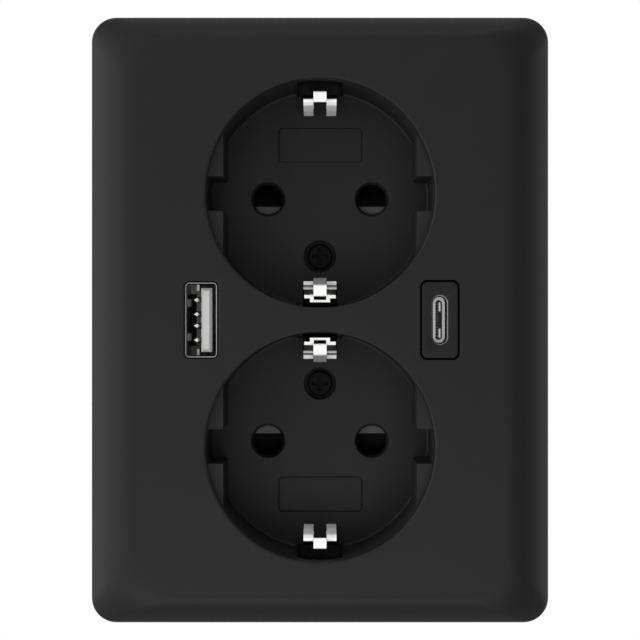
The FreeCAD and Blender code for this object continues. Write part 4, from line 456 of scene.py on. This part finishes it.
def outline(bm, corners, height, middle):
    """Edges of a closed outline parallel to the wall, from corners about a middle level."""
    spots = [bm.verts.new(on_wall(x, height, middle + z)) for x, z in corners]
    return [bm.edges.new(pair) for pair in zip(spots, spots[1:] + spots[:1])]


def new_verts(made):
    """The vertices among what an operator made."""
    return [item for item in made["geom"] if isinstance(item, bmesh.types.BMVert)]


def thicken(bm, sheet):
    """Gives flat faces parallel to the wall a thickness behind them."""
    made = bmesh.ops.extrude_face_region(bm, geom=bm.faces[:], use_keep_orig=True)
    bmesh.ops.translate(bm, verts=new_verts(made), vec=(0, sheet, 0))
    bmesh.ops.recalc_face_normals(bm, faces=bm.faces)


def round_edges(bm, edges, width, segments, clamp=False):
    """Rounds edges, or with one segment chamfers them."""
    bmesh.ops.bevel(bm, geom=edges, affect="EDGES", offset=width, offset_type="OFFSET",
                    segments=segments, profile=0.5, material=-1, clamp_overlap=clamp)


def folded(bm, spots, width, bend, sheet):
    """A folded strip: a path of spots in an upright plane drawn out sideways, with rounded folds and its
    thickness behind them. Returns its faces."""
    old = set(bm.faces)
    line = [bm.verts.new(spot) for spot in spots]
    edges = [bm.edges.new(pair) for pair in zip(line, line[1:])]
    made = bmesh.ops.extrude_edge_only(bm, edges=edges)
    bmesh.ops.translate(bm, verts=new_verts(made), vec=(width, 0, 0))
    round_edges(bm, [edge for edge in bm.edges
                     if len(edge.link_faces) == 2 and edge.link_faces[0] not in old],
                bend, 3, clamp=True)
    faces = [face for face in bm.faces if face not in old]
    bmesh.ops.recalc_face_normals(bm, faces=faces)
    if min(faces, key=lambda face: face.calc_center_median().y).normal.y > 0:
        bmesh.ops.reverse_faces(bm, faces=faces)
    bmesh.ops.solidify(bm, geom=faces, thickness=sheet)
    return [face for face in bm.faces if face not in old]


def rounded_down(radius, steps=4):
    """Pairs of inset and drop along a quarter round, from the front plane to the wall below it."""
    turns = [math.radians(90) * step / steps for step in range(steps + 1)]
    return [(radius * (1 - math.sin(turn)), radius * (1 - math.cos(turn))) for turn in turns]


def rim(half_x, half_z, corner, front, edge, way):
    """Rows of a rounded front edge: way is 1 for an opening, which widens, and -1 for a body."""
    return [(half_x + way * inset, half_z + way * inset, corner + way * inset, front - drop)
            for inset, drop in rounded_down(edge, 3)]


def drawn(bm, rows, place):
    """Walls through rows of half width, half height, corner and height. Returns the end loops."""
    loops = [ring(bm, *row, (place, 0.0), steps=8) for row in rows]
    skin(bm, loops)
    return loops[0], loops[-1]


def slab(bm, low, high):
    """A box between its lowest and highest corner. Returns its vertices."""
    matrix = Matrix.Translation((low + high) / 2) @ Matrix.Diagonal((*(high - low), 1.0))
    return bmesh.ops.create_cube(bm, size=1.0, matrix=matrix)["verts"]


def twin_slabs(bm, left, right, front, back, near, far):
    """Two boxes, as far above the middle of a port as below it. Returns their vertices."""
    return [vert for low, high in ((-far, -near), (near, far))
            for vert in slab(bm, on_wall(left, front, low), on_wall(right, back, high))]


def tube(bm, outside, inside, front, back, edge, place):
    """A tube with rounded front edges, from the half width, half height and corner of both its walls."""
    ends = [drawn(bm, rim(*shape, front, edge, way) + [(*shape, back)], place)
            for shape, way in ((outside, -1), (inside, 1))]
    for pair in zip(*ends):
        fill(bm, pair)


def second_finish(bm, first):
    """Gives all faces but the first ones a piece's second finish."""
    for face in bm.faces:
        face.material_index = int(face not in first)


def make_object(name, bm, slots):
    """Makes an object of a bmesh, with its finishes."""
    mesh = bpy.data.meshes.new(name)
    bm.to_mesh(mesh)
    bm.free()
    for slot in slots:
        mesh.materials.append(finish_for(slot))
    item = bpy.data.objects.new(name, mesh)
    bpy.context.scene.collection.objects.link(item)
    return item


def piece(name, bm, slots, node, body="root", sharp=35.0):
    """Makes a piece of the socket of a bmesh, and lets it stand for a CAD node on a body."""
    bmesh.ops.remove_doubles(bm, verts=bm.verts, dist=SAME)
    bmesh.ops.recalc_face_normals(bm, faces=bm.faces)
    for edge in bm.edges:
        edge.smooth = len(edge.link_faces) == 2 and edge.calc_face_angle(0.0) < math.radians(sharp)
    for face in bm.faces:
        face.smooth = True
    item = make_object(name, bm, slots)
    item.modifiers.new("Even shading", "WEIGHTED_NORMAL").keep_sharp = True
    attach(item, body)
    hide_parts(node)


def span(node):
    """Middle across, half width, half height, and front and back level of a CAD node."""
    low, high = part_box(node)
    return (low.x + high.x) / 2, (high.x - low.x) / 2, (high.z - low.z) / 2, -low.y, -high.y


def merged(node):
    """A copy of a CAD node's mesh with its loose triangles joined into whole faces."""
    bm = bmesh.new()
    bm.from_mesh(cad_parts[node].data)
    bmesh.ops.remove_doubles(bm, verts=bm.verts, dist=2 * SAME)
    bmesh.ops.dissolve_limit(bm, angle_limit=math.radians(1), verts=bm.verts, edges=bm.edges,
                             use_dissolve_boundaries=False)
    return bm


def on_circle(edge, radius, height, middle):
    """Whether an edge lies on a circle parallel to the wall."""
    return all(abs(-vert.co.y - height) < NEAR
               and abs(math.hypot(vert.co.x, vert.co.z - middle) - radius) < NEAR for vert in edge.verts)


def ease(bm, width, angle=30.0, segments=2, among=None):
    """Rounds the hard edges, of all or among some, by a width."""
    round_edges(bm, [edge for edge in (bm.edges if among is None else among)
                     if len(edge.link_faces) == 2 and edge.calc_face_angle(0.0) > math.radians(angle)],
                width, segments)


def dress(slot, *nodes):
    """Gives CAD nodes whose shape is kept their finish."""
    for node in nodes:
        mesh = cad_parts[node].data
        mesh.materials.clear()
        mesh.materials.append(finish_for(slot))


# ---- pieces


class WALLSOCKET_OT_cover(bpy.types.Operator):
    """Front cover: side walls, soft crown, flat front with the rounded recess edges and port openings"""
    bl_idname = "wallsocket.cover"
    bl_label = "Front cover"

    def execute(self, context):
        sizes, ports = context.scene.wall_socket_cover, context.scene.wall_socket_ports
        bm = bmesh.new()
        half_x, half_z, top = sizes.width / 2, sizes.height / 2, sizes.depth
        loops = [ring(bm, half_x, half_z, sizes.corner, 0.0)]
        for step in range(sizes.crown_rings + 1):
            share = (step / sizes.crown_rings) ** CROWN_SPREAD
            loops.append(ring(bm, half_x - sizes.crown_side * share, half_z - sizes.crown_end * share,
                              sizes.corner + (sizes.flat_corner - sizes.corner) * share,
                              top - sizes.crown_drop * (1 - share) ** 2))
        skin(bm, loops)

        back = top - sizes.front
        front_loops, back_loops = [loops[-1]], []
        for end in (-1, 1):
            middle = (0.0, end * sizes.pitch / 2)
            throat = [circle(bm, sizes.opening + inset, top - drop, middle)
                      for inset, drop in rounded_down(sizes.rim_round)]
            throat.append(circle(bm, sizes.opening, back, middle))
            skin(bm, throat)
            front_loops.append(throat[0])
            back_loops.append(throat[-1])
        place, half, upright = span("usb_a_shell")[:3]
        play = ports.wide_play
        wide = (place, half + play, upright + play, ports.wide_corner + play)
        place, half, upright = span("usb_c_bezel")[:3]
        lip = ports.bezel_lip - ports.bezel_play
        small = (place, half - lip, upright - lip, ports.bezel_corner + ports.bezel_play)
        for (place, *shape), edge in ((wide, ports.wide_round), (small, SMALL_ROUND)):
            first, last = drawn(bm, rim(*shape, top, edge, 1) + [(*shape, back)], place)
            front_loops.append(first)
            back_loops.append(last)
        fill(bm, front_loops)

        inside = tuple(part - sizes.wall for part in (half_x, half_z, sizes.corner))
        inner = [ring(bm, half_x - sizes.crown_side, half_z - sizes.crown_end, sizes.flat_corner, back),
                 ring(bm, *inside, top - sizes.crown_drop - sizes.wall), ring(bm, *inside, 0.0)]
        skin(bm, inner)
        fill(bm, [inner[0]] + back_loops)
        fill(bm, [inner[-1], loops[0]])
        edge_level = -(top - sizes.crown_drop)
        crease = [edge for edge in bm.edges
                  if all(abs(vert.co.y - edge_level) < SAME for vert in edge.verts)]
        round_edges(bm, crease, sizes.edge_round, 3)

        for side, end, offset in itertools.product((-1, 1), (-1, 1), POST_OFFSETS):
            middle = (side * sizes.post_side, end * (sizes.pitch / 2 + offset * MM))
            post = [circle(bm, radius * MM, back - drop * MM, middle, 24) for radius, drop in POST_RINGS]
            skin(bm, post)
            fill(bm, [post[0]])
            fill(bm, [post[-1]])
        piece("cover_moulding", bm, ["cover_plastic"], "front_cover", sharp=60.0)
        return {"FINISHED"}


class WALLSOCKET_OT_recesses(bpy.types.Operator):
    """Recess inserts: wall, guide ribs, floor with pin holes, screw well and plaque outline"""
    bl_idname = "wallsocket.recesses"
    bl_label = "Recess inserts"

    def execute(self, context):
        sizes, cover = context.scene.wall_socket_recess, context.scene.wall_socket_cover
        for end, turn in (("upper", 1), ("lower", -1)):
            bm = merged(f"{end}_cup")
            middle = turn * cover.pitch / 2
            screw = middle - turn * sizes.screw_offset
            for vert in bm.verts:
                x, height, z = vert.co.x, -vert.co.y, vert.co.z
                pin = math.copysign(sizes.pin_pitch / 2, x)
                from_pin = math.hypot(x - pin, z - middle)
                if from_pin < sizes.pin_mouth and height > sizes.well_level:
                    at_floor = abs(height - sizes.floor) < NEAR
                    share = (sizes.pin_mouth if at_floor else sizes.pin_hole) / from_pin
                    vert.co = on_wall(pin + (x - pin) * share,
                                      sizes.floor - (0 if at_floor else sizes.pin_funnel),
                                      middle + (z - middle) * share)
                elif (abs(height - sizes.well_level) < NEAR
                      and math.hypot(x, z - screw) < sizes.well + NEAR):
                    vert.co.y = -sizes.well_floor
            bmesh.ops.remove_doubles(bm, verts=bm.verts, dist=2 * SAME)
            bmesh.ops.dissolve_degenerate(bm, dist=2 * SAME, edges=bm.edges)
            foot = [edge for edge in bm.edges if on_circle(edge, cover.opening, sizes.floor, middle)]
            ease(bm, sizes.floor_fillet, segments=5, among=foot)
            ease(bm, sizes.edge_round, angle=50.0)
            for way, reach in ((turn, sizes.bridge_end), (-turn, sizes.bridge_inner)):
                near, far = sorted((middle + way * sizes.bridge_start, middle + way * reach))
                slab(bm, on_wall(-sizes.bridge_half, sizes.floor, near),
                     on_wall(sizes.bridge_half, sizes.floor - sizes.bridge_drop, far))
            piece(f"{end}_recess_insert", bm, ["cup_plastic"], f"{end}_cup")
        return {"FINISHED"}


def finger_finish(path, deep, up):
    """The finish of a finger's face, by its depth and its distance from the pins in millimetres. Some
    faces of the inner clips get painted shade.
    """
    leg = up > LEG_FROM
    if path is INNER_SIDE and (leg or deep < SHADED_TO):
        return SHADED_MIRROR
    if path is INNER_MIDDLE and deep > SHADE_FROM and not leg:
        return SHADED_GREY
    return TINNED


class WALLSOCKET_OT_clips(bpy.types.Operator):
    """Earth clips: a flat strap with three folded fingers at each end"""
    bl_idname = "wallsocket.clips"
    bl_label = "Earth clips"

    def execute(self, context):
        sizes, recess = context.scene.wall_socket_clips, context.scene.wall_socket_recess
        top, pitch = context.scene.wall_socket_cover.depth, context.scene.wall_socket_cover.pitch
        for name, turn in (("upper", 1), ("lower", -1)):
            middle = turn * pitch / 2
            half, neck, slot = sizes.half_width, sizes.neck_half, sizes.middle_half
            wide, tip = sizes.wide_end, sizes.neck_end
            corners = [(half, -wide), (half, wide), (neck, wide), (neck, tip), (-neck, tip),
                       (-neck, wide), (-half, wide), (-half, -wide), (-neck, -wide), (-neck, -tip),
                       (neck, -tip), (neck, -wide)]
            bm = bmesh.new()
            loops = [outline(bm, corners, sizes.strap_level, middle)]
            for end in (-1, 1):
                near, far = end * sizes.hole_start, end * sizes.hole_end
                loops.append(outline(bm, [(slot, near), (slot, far), (-slot, far), (-slot, near)],
                                     sizes.strap_level, middle))
            loops.append(circle(bm, sizes.screw_hole, sizes.strap_level,
                                (0.0, middle - turn * recess.screw_offset), 32))
            fill(bm, loops)
            thicken(bm, sizes.strap_sheet)
            for face in bm.faces:
                face.material_index = STRAP
            for end in (-1, 1):
                outer = end == turn
                flank = OUTER_SIDE if outer else INNER_SIDE
                paths = [(flank, side * (slot + sizes.slit), side * half) for side in (-1, 1)]
                paths.append((OUTER_MIDDLE if outer else INNER_MIDDLE, -slot, slot))
                for path, left, right in paths:
                    spots = [on_wall(left, top - deep * MM, middle + end * up * MM) for up, deep in path]
                    bend = sizes.bend if path is flank else sizes.fold
                    for face in folded(bm, spots, right - left, bend, sizes.sheet):
                        spot = face.calc_center_median()
                        face.material_index = finger_finish(path, (top + spot.y) / MM,
                                                            end * (spot.z - middle) / MM)
            piece(f"{name}_earth_strip", bm, CLIP_SLOTS, f"{name}_earth_clip", sharp=50.0)
        return {"FINISHED"}


class WALLSOCKET_OT_shutters(bpy.types.Operator):
    """Shutters with their springs, and the cover screws"""
    bl_idname = "wallsocket.shutters"
    bl_label = "Shutters and screws"

    def execute(self, context):
        for end in ("upper", "lower"):
            bm = merged(f"{end}_shutter")
            ease(bm, SHUTTER_ROUND)
            for face in bm.faces:
                # Sloping towards the room, neither flat nor upright.
                sloping = 0.2 < abs(face.normal.z) < 0.95 and face.normal.y < -0.2
                # The large sloping faces are the ramps, which get painted shade.
                face.material_index = int(sloping and face.calc_area() > RAMP_AREA)
            piece(f"{end}_shutter_slide", bm, ["shutter_plastic", "shaded_ramp"],
                  f"{end}_shutter", body=f"{end}_shutter")
            bm = merged(f"{end}_cover_screw")
            ease(bm, SCREW_ROUND)
            piece(f"{end}_cross_screw", bm, ["screw_metal"], f"{end}_cover_screw")
            dress("spring_steel", f"{end}_shutter_spring")
        return {"FINISHED"}


class WALLSOCKET_OT_ports(bpy.types.Operator):
    """Charging ports: shells, tongues, contacts and the small port's bezel"""
    bl_idname = "wallsocket.ports"
    bl_label = "Charging ports"

    def execute(self, context):
        sizes, top = context.scene.wall_socket_ports, context.scene.wall_socket_cover.depth
        self.wide_port(sizes, top)
        self.small_port(sizes, top)
        self.contacts(top)
        return {"FINISHED"}

    def contacts(self, top):
        """Sprung contacts of the wide port with their three-sided noses, and the small port's leads."""
        place = span("usb_a_shell")[0]
        bm = merged("usb_a_contacts")
        leaves = set(bm.faces)
        lie = Matrix.Rotation(math.radians(90), 4, "X") @ Matrix.Rotation(math.radians(90), 4, "Z")
        for up in NOSE_HEIGHTS:
            spot = on_wall(place - NOSE_SIDE, top - NOSE_DEPTH, up * MM)
            bmesh.ops.create_cone(bm, cap_ends=True, segments=3, radius1=NOSE_RADIUS, radius2=NOSE_RADIUS,
                                  depth=2 * NOSE_RADIUS, matrix=Matrix.Translation(spot) @ lie)
        second_finish(bm, leaves)
        piece("wide_port_contacts", bm, ["port_gold", "nose_metal"], "usb_a_contacts")
        dress("port_gold", "usb_c_contacts")

    def wide_port(self, sizes, top):
        """Shell with two sprung tabs, and the tongue on its block with a pocket and two guides."""
        place, half_x, half_z, mouth, back = span("usb_a_shell")
        bm = bmesh.new()
        shape = (half_x, half_z, sizes.wide_corner)
        tube(bm, shape, tuple(part - sizes.sheet for part in shape), mouth, back, sizes.edge, place)
        shell, left = set(bm.faces), place - half_x + sizes.sheet
        for vert in twin_slabs(bm, left - TAB_SUNK, left + TAB_REACH, top - TAB_START, top - TAB_END,
                               *TAB_HEIGHTS):
            if -vert.co.y > top - (TAB_START + TAB_END) / 2 and vert.co.x > left:
                vert.co.x = left + TAB_TIP
        second_finish(bm, shell)
        piece("wide_port_shell", bm, ["port_metal", "matt_grey_metal"], "usb_a_shell")

        bm = bmesh.new()
        low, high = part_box("usb_a_tongue")
        front = top - sizes.block_depth
        pocket, reach = sizes.pocket_half, low.x + sizes.pocket_reach
        corners = [(high.x, low.z), (low.x, low.z), (low.x, -pocket), (reach, -pocket),
                   (reach, pocket), (low.x, pocket), (low.x, high.z), (high.x, high.z)]
        fill(bm, [outline(bm, corners, front, 0.0)])
        thicken(bm, front - back)
        pale = set(bm.faces)
        # The pocket's floor gets the dark plastic as painted shade.
        slab(bm, on_wall(low.x, back + POCKET_FLOOR, -pocket), on_wall(reach, back, pocket))
        dark = [face for face in bm.faces if face not in pale]
        right = place + sizes.tongue_right
        tip, up = top - sizes.tongue_depth, sizes.tongue_half
        blade = slab(bm, on_wall(right - sizes.tongue_thick, tip, -up), on_wall(right, front, up))
        ahead = {vert for vert in blade if -vert.co.y > (top + front) / 2}
        round_edges(bm, [edge for edge in bm.edges if ahead.issuperset(edge.verts)], sizes.chamfer, 1)
        twin_slabs(bm, place - GUIDE_LEFT, place - GUIDE_RIGHT, top - GUIDE_DEPTH, front, *GUIDE_HEIGHTS)
        for face in dark:
            face.material_index = 1
        piece("wide_port_tongue", bm, ["tongue_plastic", "dark_tongue_plastic"], "usb_a_tongue")

    def small_port(self, sizes, top):
        """Shell with its ground plate, tongue with two bright bars, and the bezel round them."""
        place, half_x, half_z, mouth, back = span("usb_c_shell")
        block, plate, tip = top - sizes.small_block, top - sizes.plate_depth, top - sizes.tongue_depth
        bm = bmesh.new()
        shape = (half_x, half_z, half_x - ROUND_END)
        tube(bm, shape, tuple(part - sizes.sheet for part in shape), mouth, back, sizes.edge, place)
        shell = set(bm.faces)
        collar = (sizes.plate_side, half_z - sizes.sheet - PLATE_PLAY, sizes.plate_side - ROUND_END)
        hole = (sizes.plate_half, sizes.plate_upright, sizes.plate_half - PLATE_END)
        tube(bm, collar, hole, plate, block, FINE_EDGE, place)
        second_finish(bm, shell)
        piece("small_port_shell", bm, ["port_metal", "plate_metal"], "usb_c_shell")

        bm = bmesh.new()
        blade = (sizes.blade_half, sizes.blade_upright, sizes.blade_half - ROUND_END)
        inside = half_x - sizes.sheet - HOLDER_PLAY
        holder = (inside, half_z - sizes.sheet - HOLDER_PLAY, inside - ROUND_END)
        for rows in (rim(*blade, tip, FINE_EDGE, -1) + [(*blade, block)],
                     [(*holder, block), (*holder, back)]):
            for loop in drawn(bm, rows, place):
                fill(bm, [loop])
        dark = set(bm.faces)
        twin_slabs(bm, place - BAR_HALF, place + BAR_HALF, tip + BAR_PROUD, tip - BAR_DEEP, *BAR_HEIGHTS)
        second_finish(bm, dark)
        piece("small_port_tongue", bm, ["dark_tongue_plastic", "plate_metal"], "usb_c_tongue")

        bm = bmesh.new()
        half, upright, _, foot = span("usb_c_bezel")[1:]
        flange = (half, upright, sizes.bezel_corner)
        body = (half - sizes.bezel_lip, upright - sizes.bezel_lip, sizes.bezel_corner)
        slope = sizes.bezel_slope
        face = (body[0] - slope, body[1] - slope, body[2] - slope / 2)
        mouth = (sizes.hole_half, sizes.hole_upright, sizes.hole_half - ROUND_END)
        hole = tuple(part + sizes.shell_play for part in shape)
        seat, lip = top - sizes.bezel_depth, top - sizes.hole_lip
        outside = drawn(bm, rim(*face, top, BEZEL_EDGE, -1)
                        + [(*body, top - sizes.slope_depth), (*body, seat)], place)
        border = drawn(bm, [(*flange, seat), (*flange, foot)], place)
        entry = drawn(bm, rim(*mouth, top, MOUTH_EDGE, 1) + [(*mouth, lip)], place)
        bore = drawn(bm, [(*hole, lip), (*hole, foot)], place)
        for pair in ((outside[0], entry[0]), (outside[1], border[0]), (entry[1], bore[0]),
                     (border[1], bore[1])):
            fill(bm, pair)
        piece("small_port_bezel", bm, ["bezel_plastic"], "usb_c_bezel")


class WALLSOCKET_OT_base(bpy.types.Operator):
    """Base housing, mounting frame with its rivets, and the rear cover with its screws"""
    bl_idname = "wallsocket.base"
    bl_label = "Base and frame"

    def execute(self, context):
        dress("base_plastic", "base_housing", "rear_cover")
        dress("frame_metal", "mounting_frame")
        dress("bright_screw_metal", "frame_rivets", "rear_cover_screws")
        return {"FINISHED"}


class WALLSOCKET_OT_conductors(bpy.types.Operator):
    """Busbars, earth link, clamps and terminal screws"""
    bl_idname = "wallsocket.conductors"
    bl_label = "Conductors"

    def execute(self, context):
        bm = merged("earth_link")
        reach = context.scene.wall_socket_clips.link_shade
        for end in (-1, 1):
            bmesh.ops.bisect_plane(bm, geom=bm.verts[:] + bm.edges[:] + bm.faces[:], dist=SAME / 10,
                                   plane_co=(0, 0, end * reach), plane_no=(0, 0, 1))
        # Painted shade: the middle of the link, seen in the screw's well, is coloured nearly black.
        for face in bm.faces:
            face.material_index = int(abs(face.calc_center_median().z) < reach)
        piece("earth_link_with_painted_shade", bm, ["contact_metal", "link_shade"], "earth_link")
        dress("contact_metal", "live_busbar", "neutral_busbar")
        dress("frame_metal", "live_clamp", "neutral_clamp", "earth_clamp")
        dress("bright_screw_metal", "terminal_screws")
        return {"FINISHED"}


class WALLSOCKET_OT_electronics(bpy.types.Operator):
    """Boards and the parts of the mains converter"""
    bl_idname = "wallsocket.electronics"
    bl_label = "Electronics"

    def execute(self, context):
        dress("board", "power_board", "usb_a_board", "usb_c_board")
        dress("ferrite", "transformer_core")
        dress("copper_coil", "transformer_coil")
        dress("capacitor_sleeve", "input_capacitor", "output_capacitor")
        dress("chip_plastic", "rectifier", "power_controller", "charge_controller")
        return {"FINISHED"}


def lamp(name, place, across, up, power):
    """A rectangular lamp that faces the socket, by its place, width, height and power."""
    light = bpy.data.lights.new(name, "AREA")
    light.shape = "RECTANGLE"
    light.size, light.size_y, light.energy = across, up, power
    item = bpy.data.objects.new(name, light)
    item.location = place
    item.rotation_euler = (LAMP_AIM - item.location).to_track_quat("-Z", "Y").to_euler()
    bpy.context.scene.collection.objects.link(item)


class WALLSOCKET_OT_stage(bpy.types.Operator):
    """Camera, lamps, white surroundings and a round pale floor under the socket"""
    bl_idname = "wallsocket.stage"
    bl_label = "Stage"

    def execute(self, context):
        scene = context.scene
        scene.view_settings.view_transform = "Standard"
        camera = bpy.data.objects.new("Front_camera", bpy.data.cameras.new("Front_camera"))
        camera.location = (0, -(scene.wall_socket_cover.depth + CAMERA_DISTANCE), 0)
        camera.rotation_euler = (math.radians(90), 0, 0)
        camera.data.sensor_width = SENSOR
        camera.data.lens = SENSOR * CAMERA_DISTANCE / VIEW_WIDTH
        scene.collection.objects.link(camera)
        scene.camera = camera

        world = bpy.data.worlds.new("White_surroundings")
        scene.world = world
        world.use_nodes = True
        tree = world.node_tree
        tree.nodes.clear()
        path = add(tree, "ShaderNodeLightPath")
        seen = add(tree, "ShaderNodeMath", {0: path.outputs["Is Camera Ray"],
                                            1: path.outputs["Is Glossy Ray"]}, operation="MAXIMUM")
        seen = add(tree, "ShaderNodeMath", {0: seen.outputs[0],
                                            1: path.outputs["Is Transmission Ray"]}, operation="MAXIMUM")
        strength = add(tree, "ShaderNodeMapRange", {0: seen.outputs[0], 3: DULL_GLOW, 4: BRIGHT_GLOW})
        glow = add(tree, "ShaderNodeBackground", {"Color": (1, 1, 1, 1), "Strength": strength.outputs[0]})
        add(tree, "ShaderNodeOutputWorld", {"Surface": glow.outputs[0]})

        # The left lamps and the right rim draw the light on the curved edges; the soft ones fill in.
        lamp("Broad_left", (-0.75, -0.65, 0.05), 0.7, 1.0, 4.2)
        lamp("Rim_left", (-0.95, -0.2, 0.05), 0.4, 0.9, 4.0)
        lamp("Rim_right", (0.95, -0.11, -0.05), 0.25, 0.9, 2.6)
        lamp("Soft_top", (0.1, -0.5, 0.9), 0.8, 0.5, 1.2)
        lamp("Soft_bottom", (0.0, -0.85, -0.4), 0.8, 0.4, 2.5)

        bm = bmesh.new()
        bmesh.ops.create_cone(bm, cap_ends=True, radius1=FLOOR_RADIUS, radius2=FLOOR_RADIUS,
                              depth=FLOOR_THICK, segments=96,
                              matrix=Matrix.Translation((0, 0, FLOOR_LEVEL)))
        board = make_object("Floor", bm, ["floor"])

        # A flag that only mirror images see: it keeps the flat front dark beside the bright left edge.
        bm = bmesh.new()
        bmesh.ops.create_grid(bm, x_segments=4, y_segments=12, size=0.5,
                              matrix=Matrix.Translation(FLAG_PLACE)
                              @ Matrix.Rotation(math.radians(FLAG_TURN), 4, "Z")
                              @ Matrix.Rotation(math.radians(90), 4, "X")
                              @ Matrix.Diagonal((*FLAG_SIZE, 1.0)))
        flag = make_object("Dark_flag", bm, ["flag"])
        flag.visible_camera = flag.visible_diffuse = False
        flag.visible_shadow = flag.visible_transmission = False
        return {"FINISHED"}


class WALLSOCKET_PT_panel(bpy.types.Panel):
    """Lists the pieces of the wall socket"""
    bl_idname = "WALLSOCKET_PT_panel"
    bl_label = "Wall socket"
    bl_space_type = "VIEW_3D"
    bl_region_type = "UI"
    bl_category = "Wall socket"

    def draw(self, context):
        for step in STEPS:
            self.layout.operator(step.bl_idname)
        for group in GROUPS:
            held = getattr(context.scene, group)
            for name in held.bl_rna.properties.keys():
                if name not in {"rna_type", "name"}:
                    self.layout.prop(held, name)


GROUPS = {"wall_socket_cover": CoverSizes, "wall_socket_recess": RecessSizes,
          "wall_socket_clips": ClipSizes, "wall_socket_ports": PortSizes,
          "wall_socket_finishes": SocketFinishes}
STEPS = (WALLSOCKET_OT_cover, WALLSOCKET_OT_recesses, WALLSOCKET_OT_clips, WALLSOCKET_OT_shutters,
         WALLSOCKET_OT_ports, WALLSOCKET_OT_base, WALLSOCKET_OT_conductors, WALLSOCKET_OT_electronics,
         WALLSOCKET_OT_stage)


def register():
    for kind in (*GROUPS.values(), *STEPS, WALLSOCKET_PT_panel):
        bpy.utils.register_class(kind)
    for name, kind in GROUPS.items():
        setattr(bpy.types.Scene, name, PointerProperty(type=kind))


def unregister():
    for name in GROUPS:
        delattr(bpy.types.Scene, name)
    for kind in (WALLSOCKET_PT_panel, *reversed(STEPS), *reversed(GROUPS.values())):
        bpy.utils.unregister_class(kind)


def main():
    register()
    for step in STEPS:
        group, name = step.bl_idname.split(".")
        getattr(getattr(bpy.ops, group), name)()


if __name__ == "__main__":
    main()
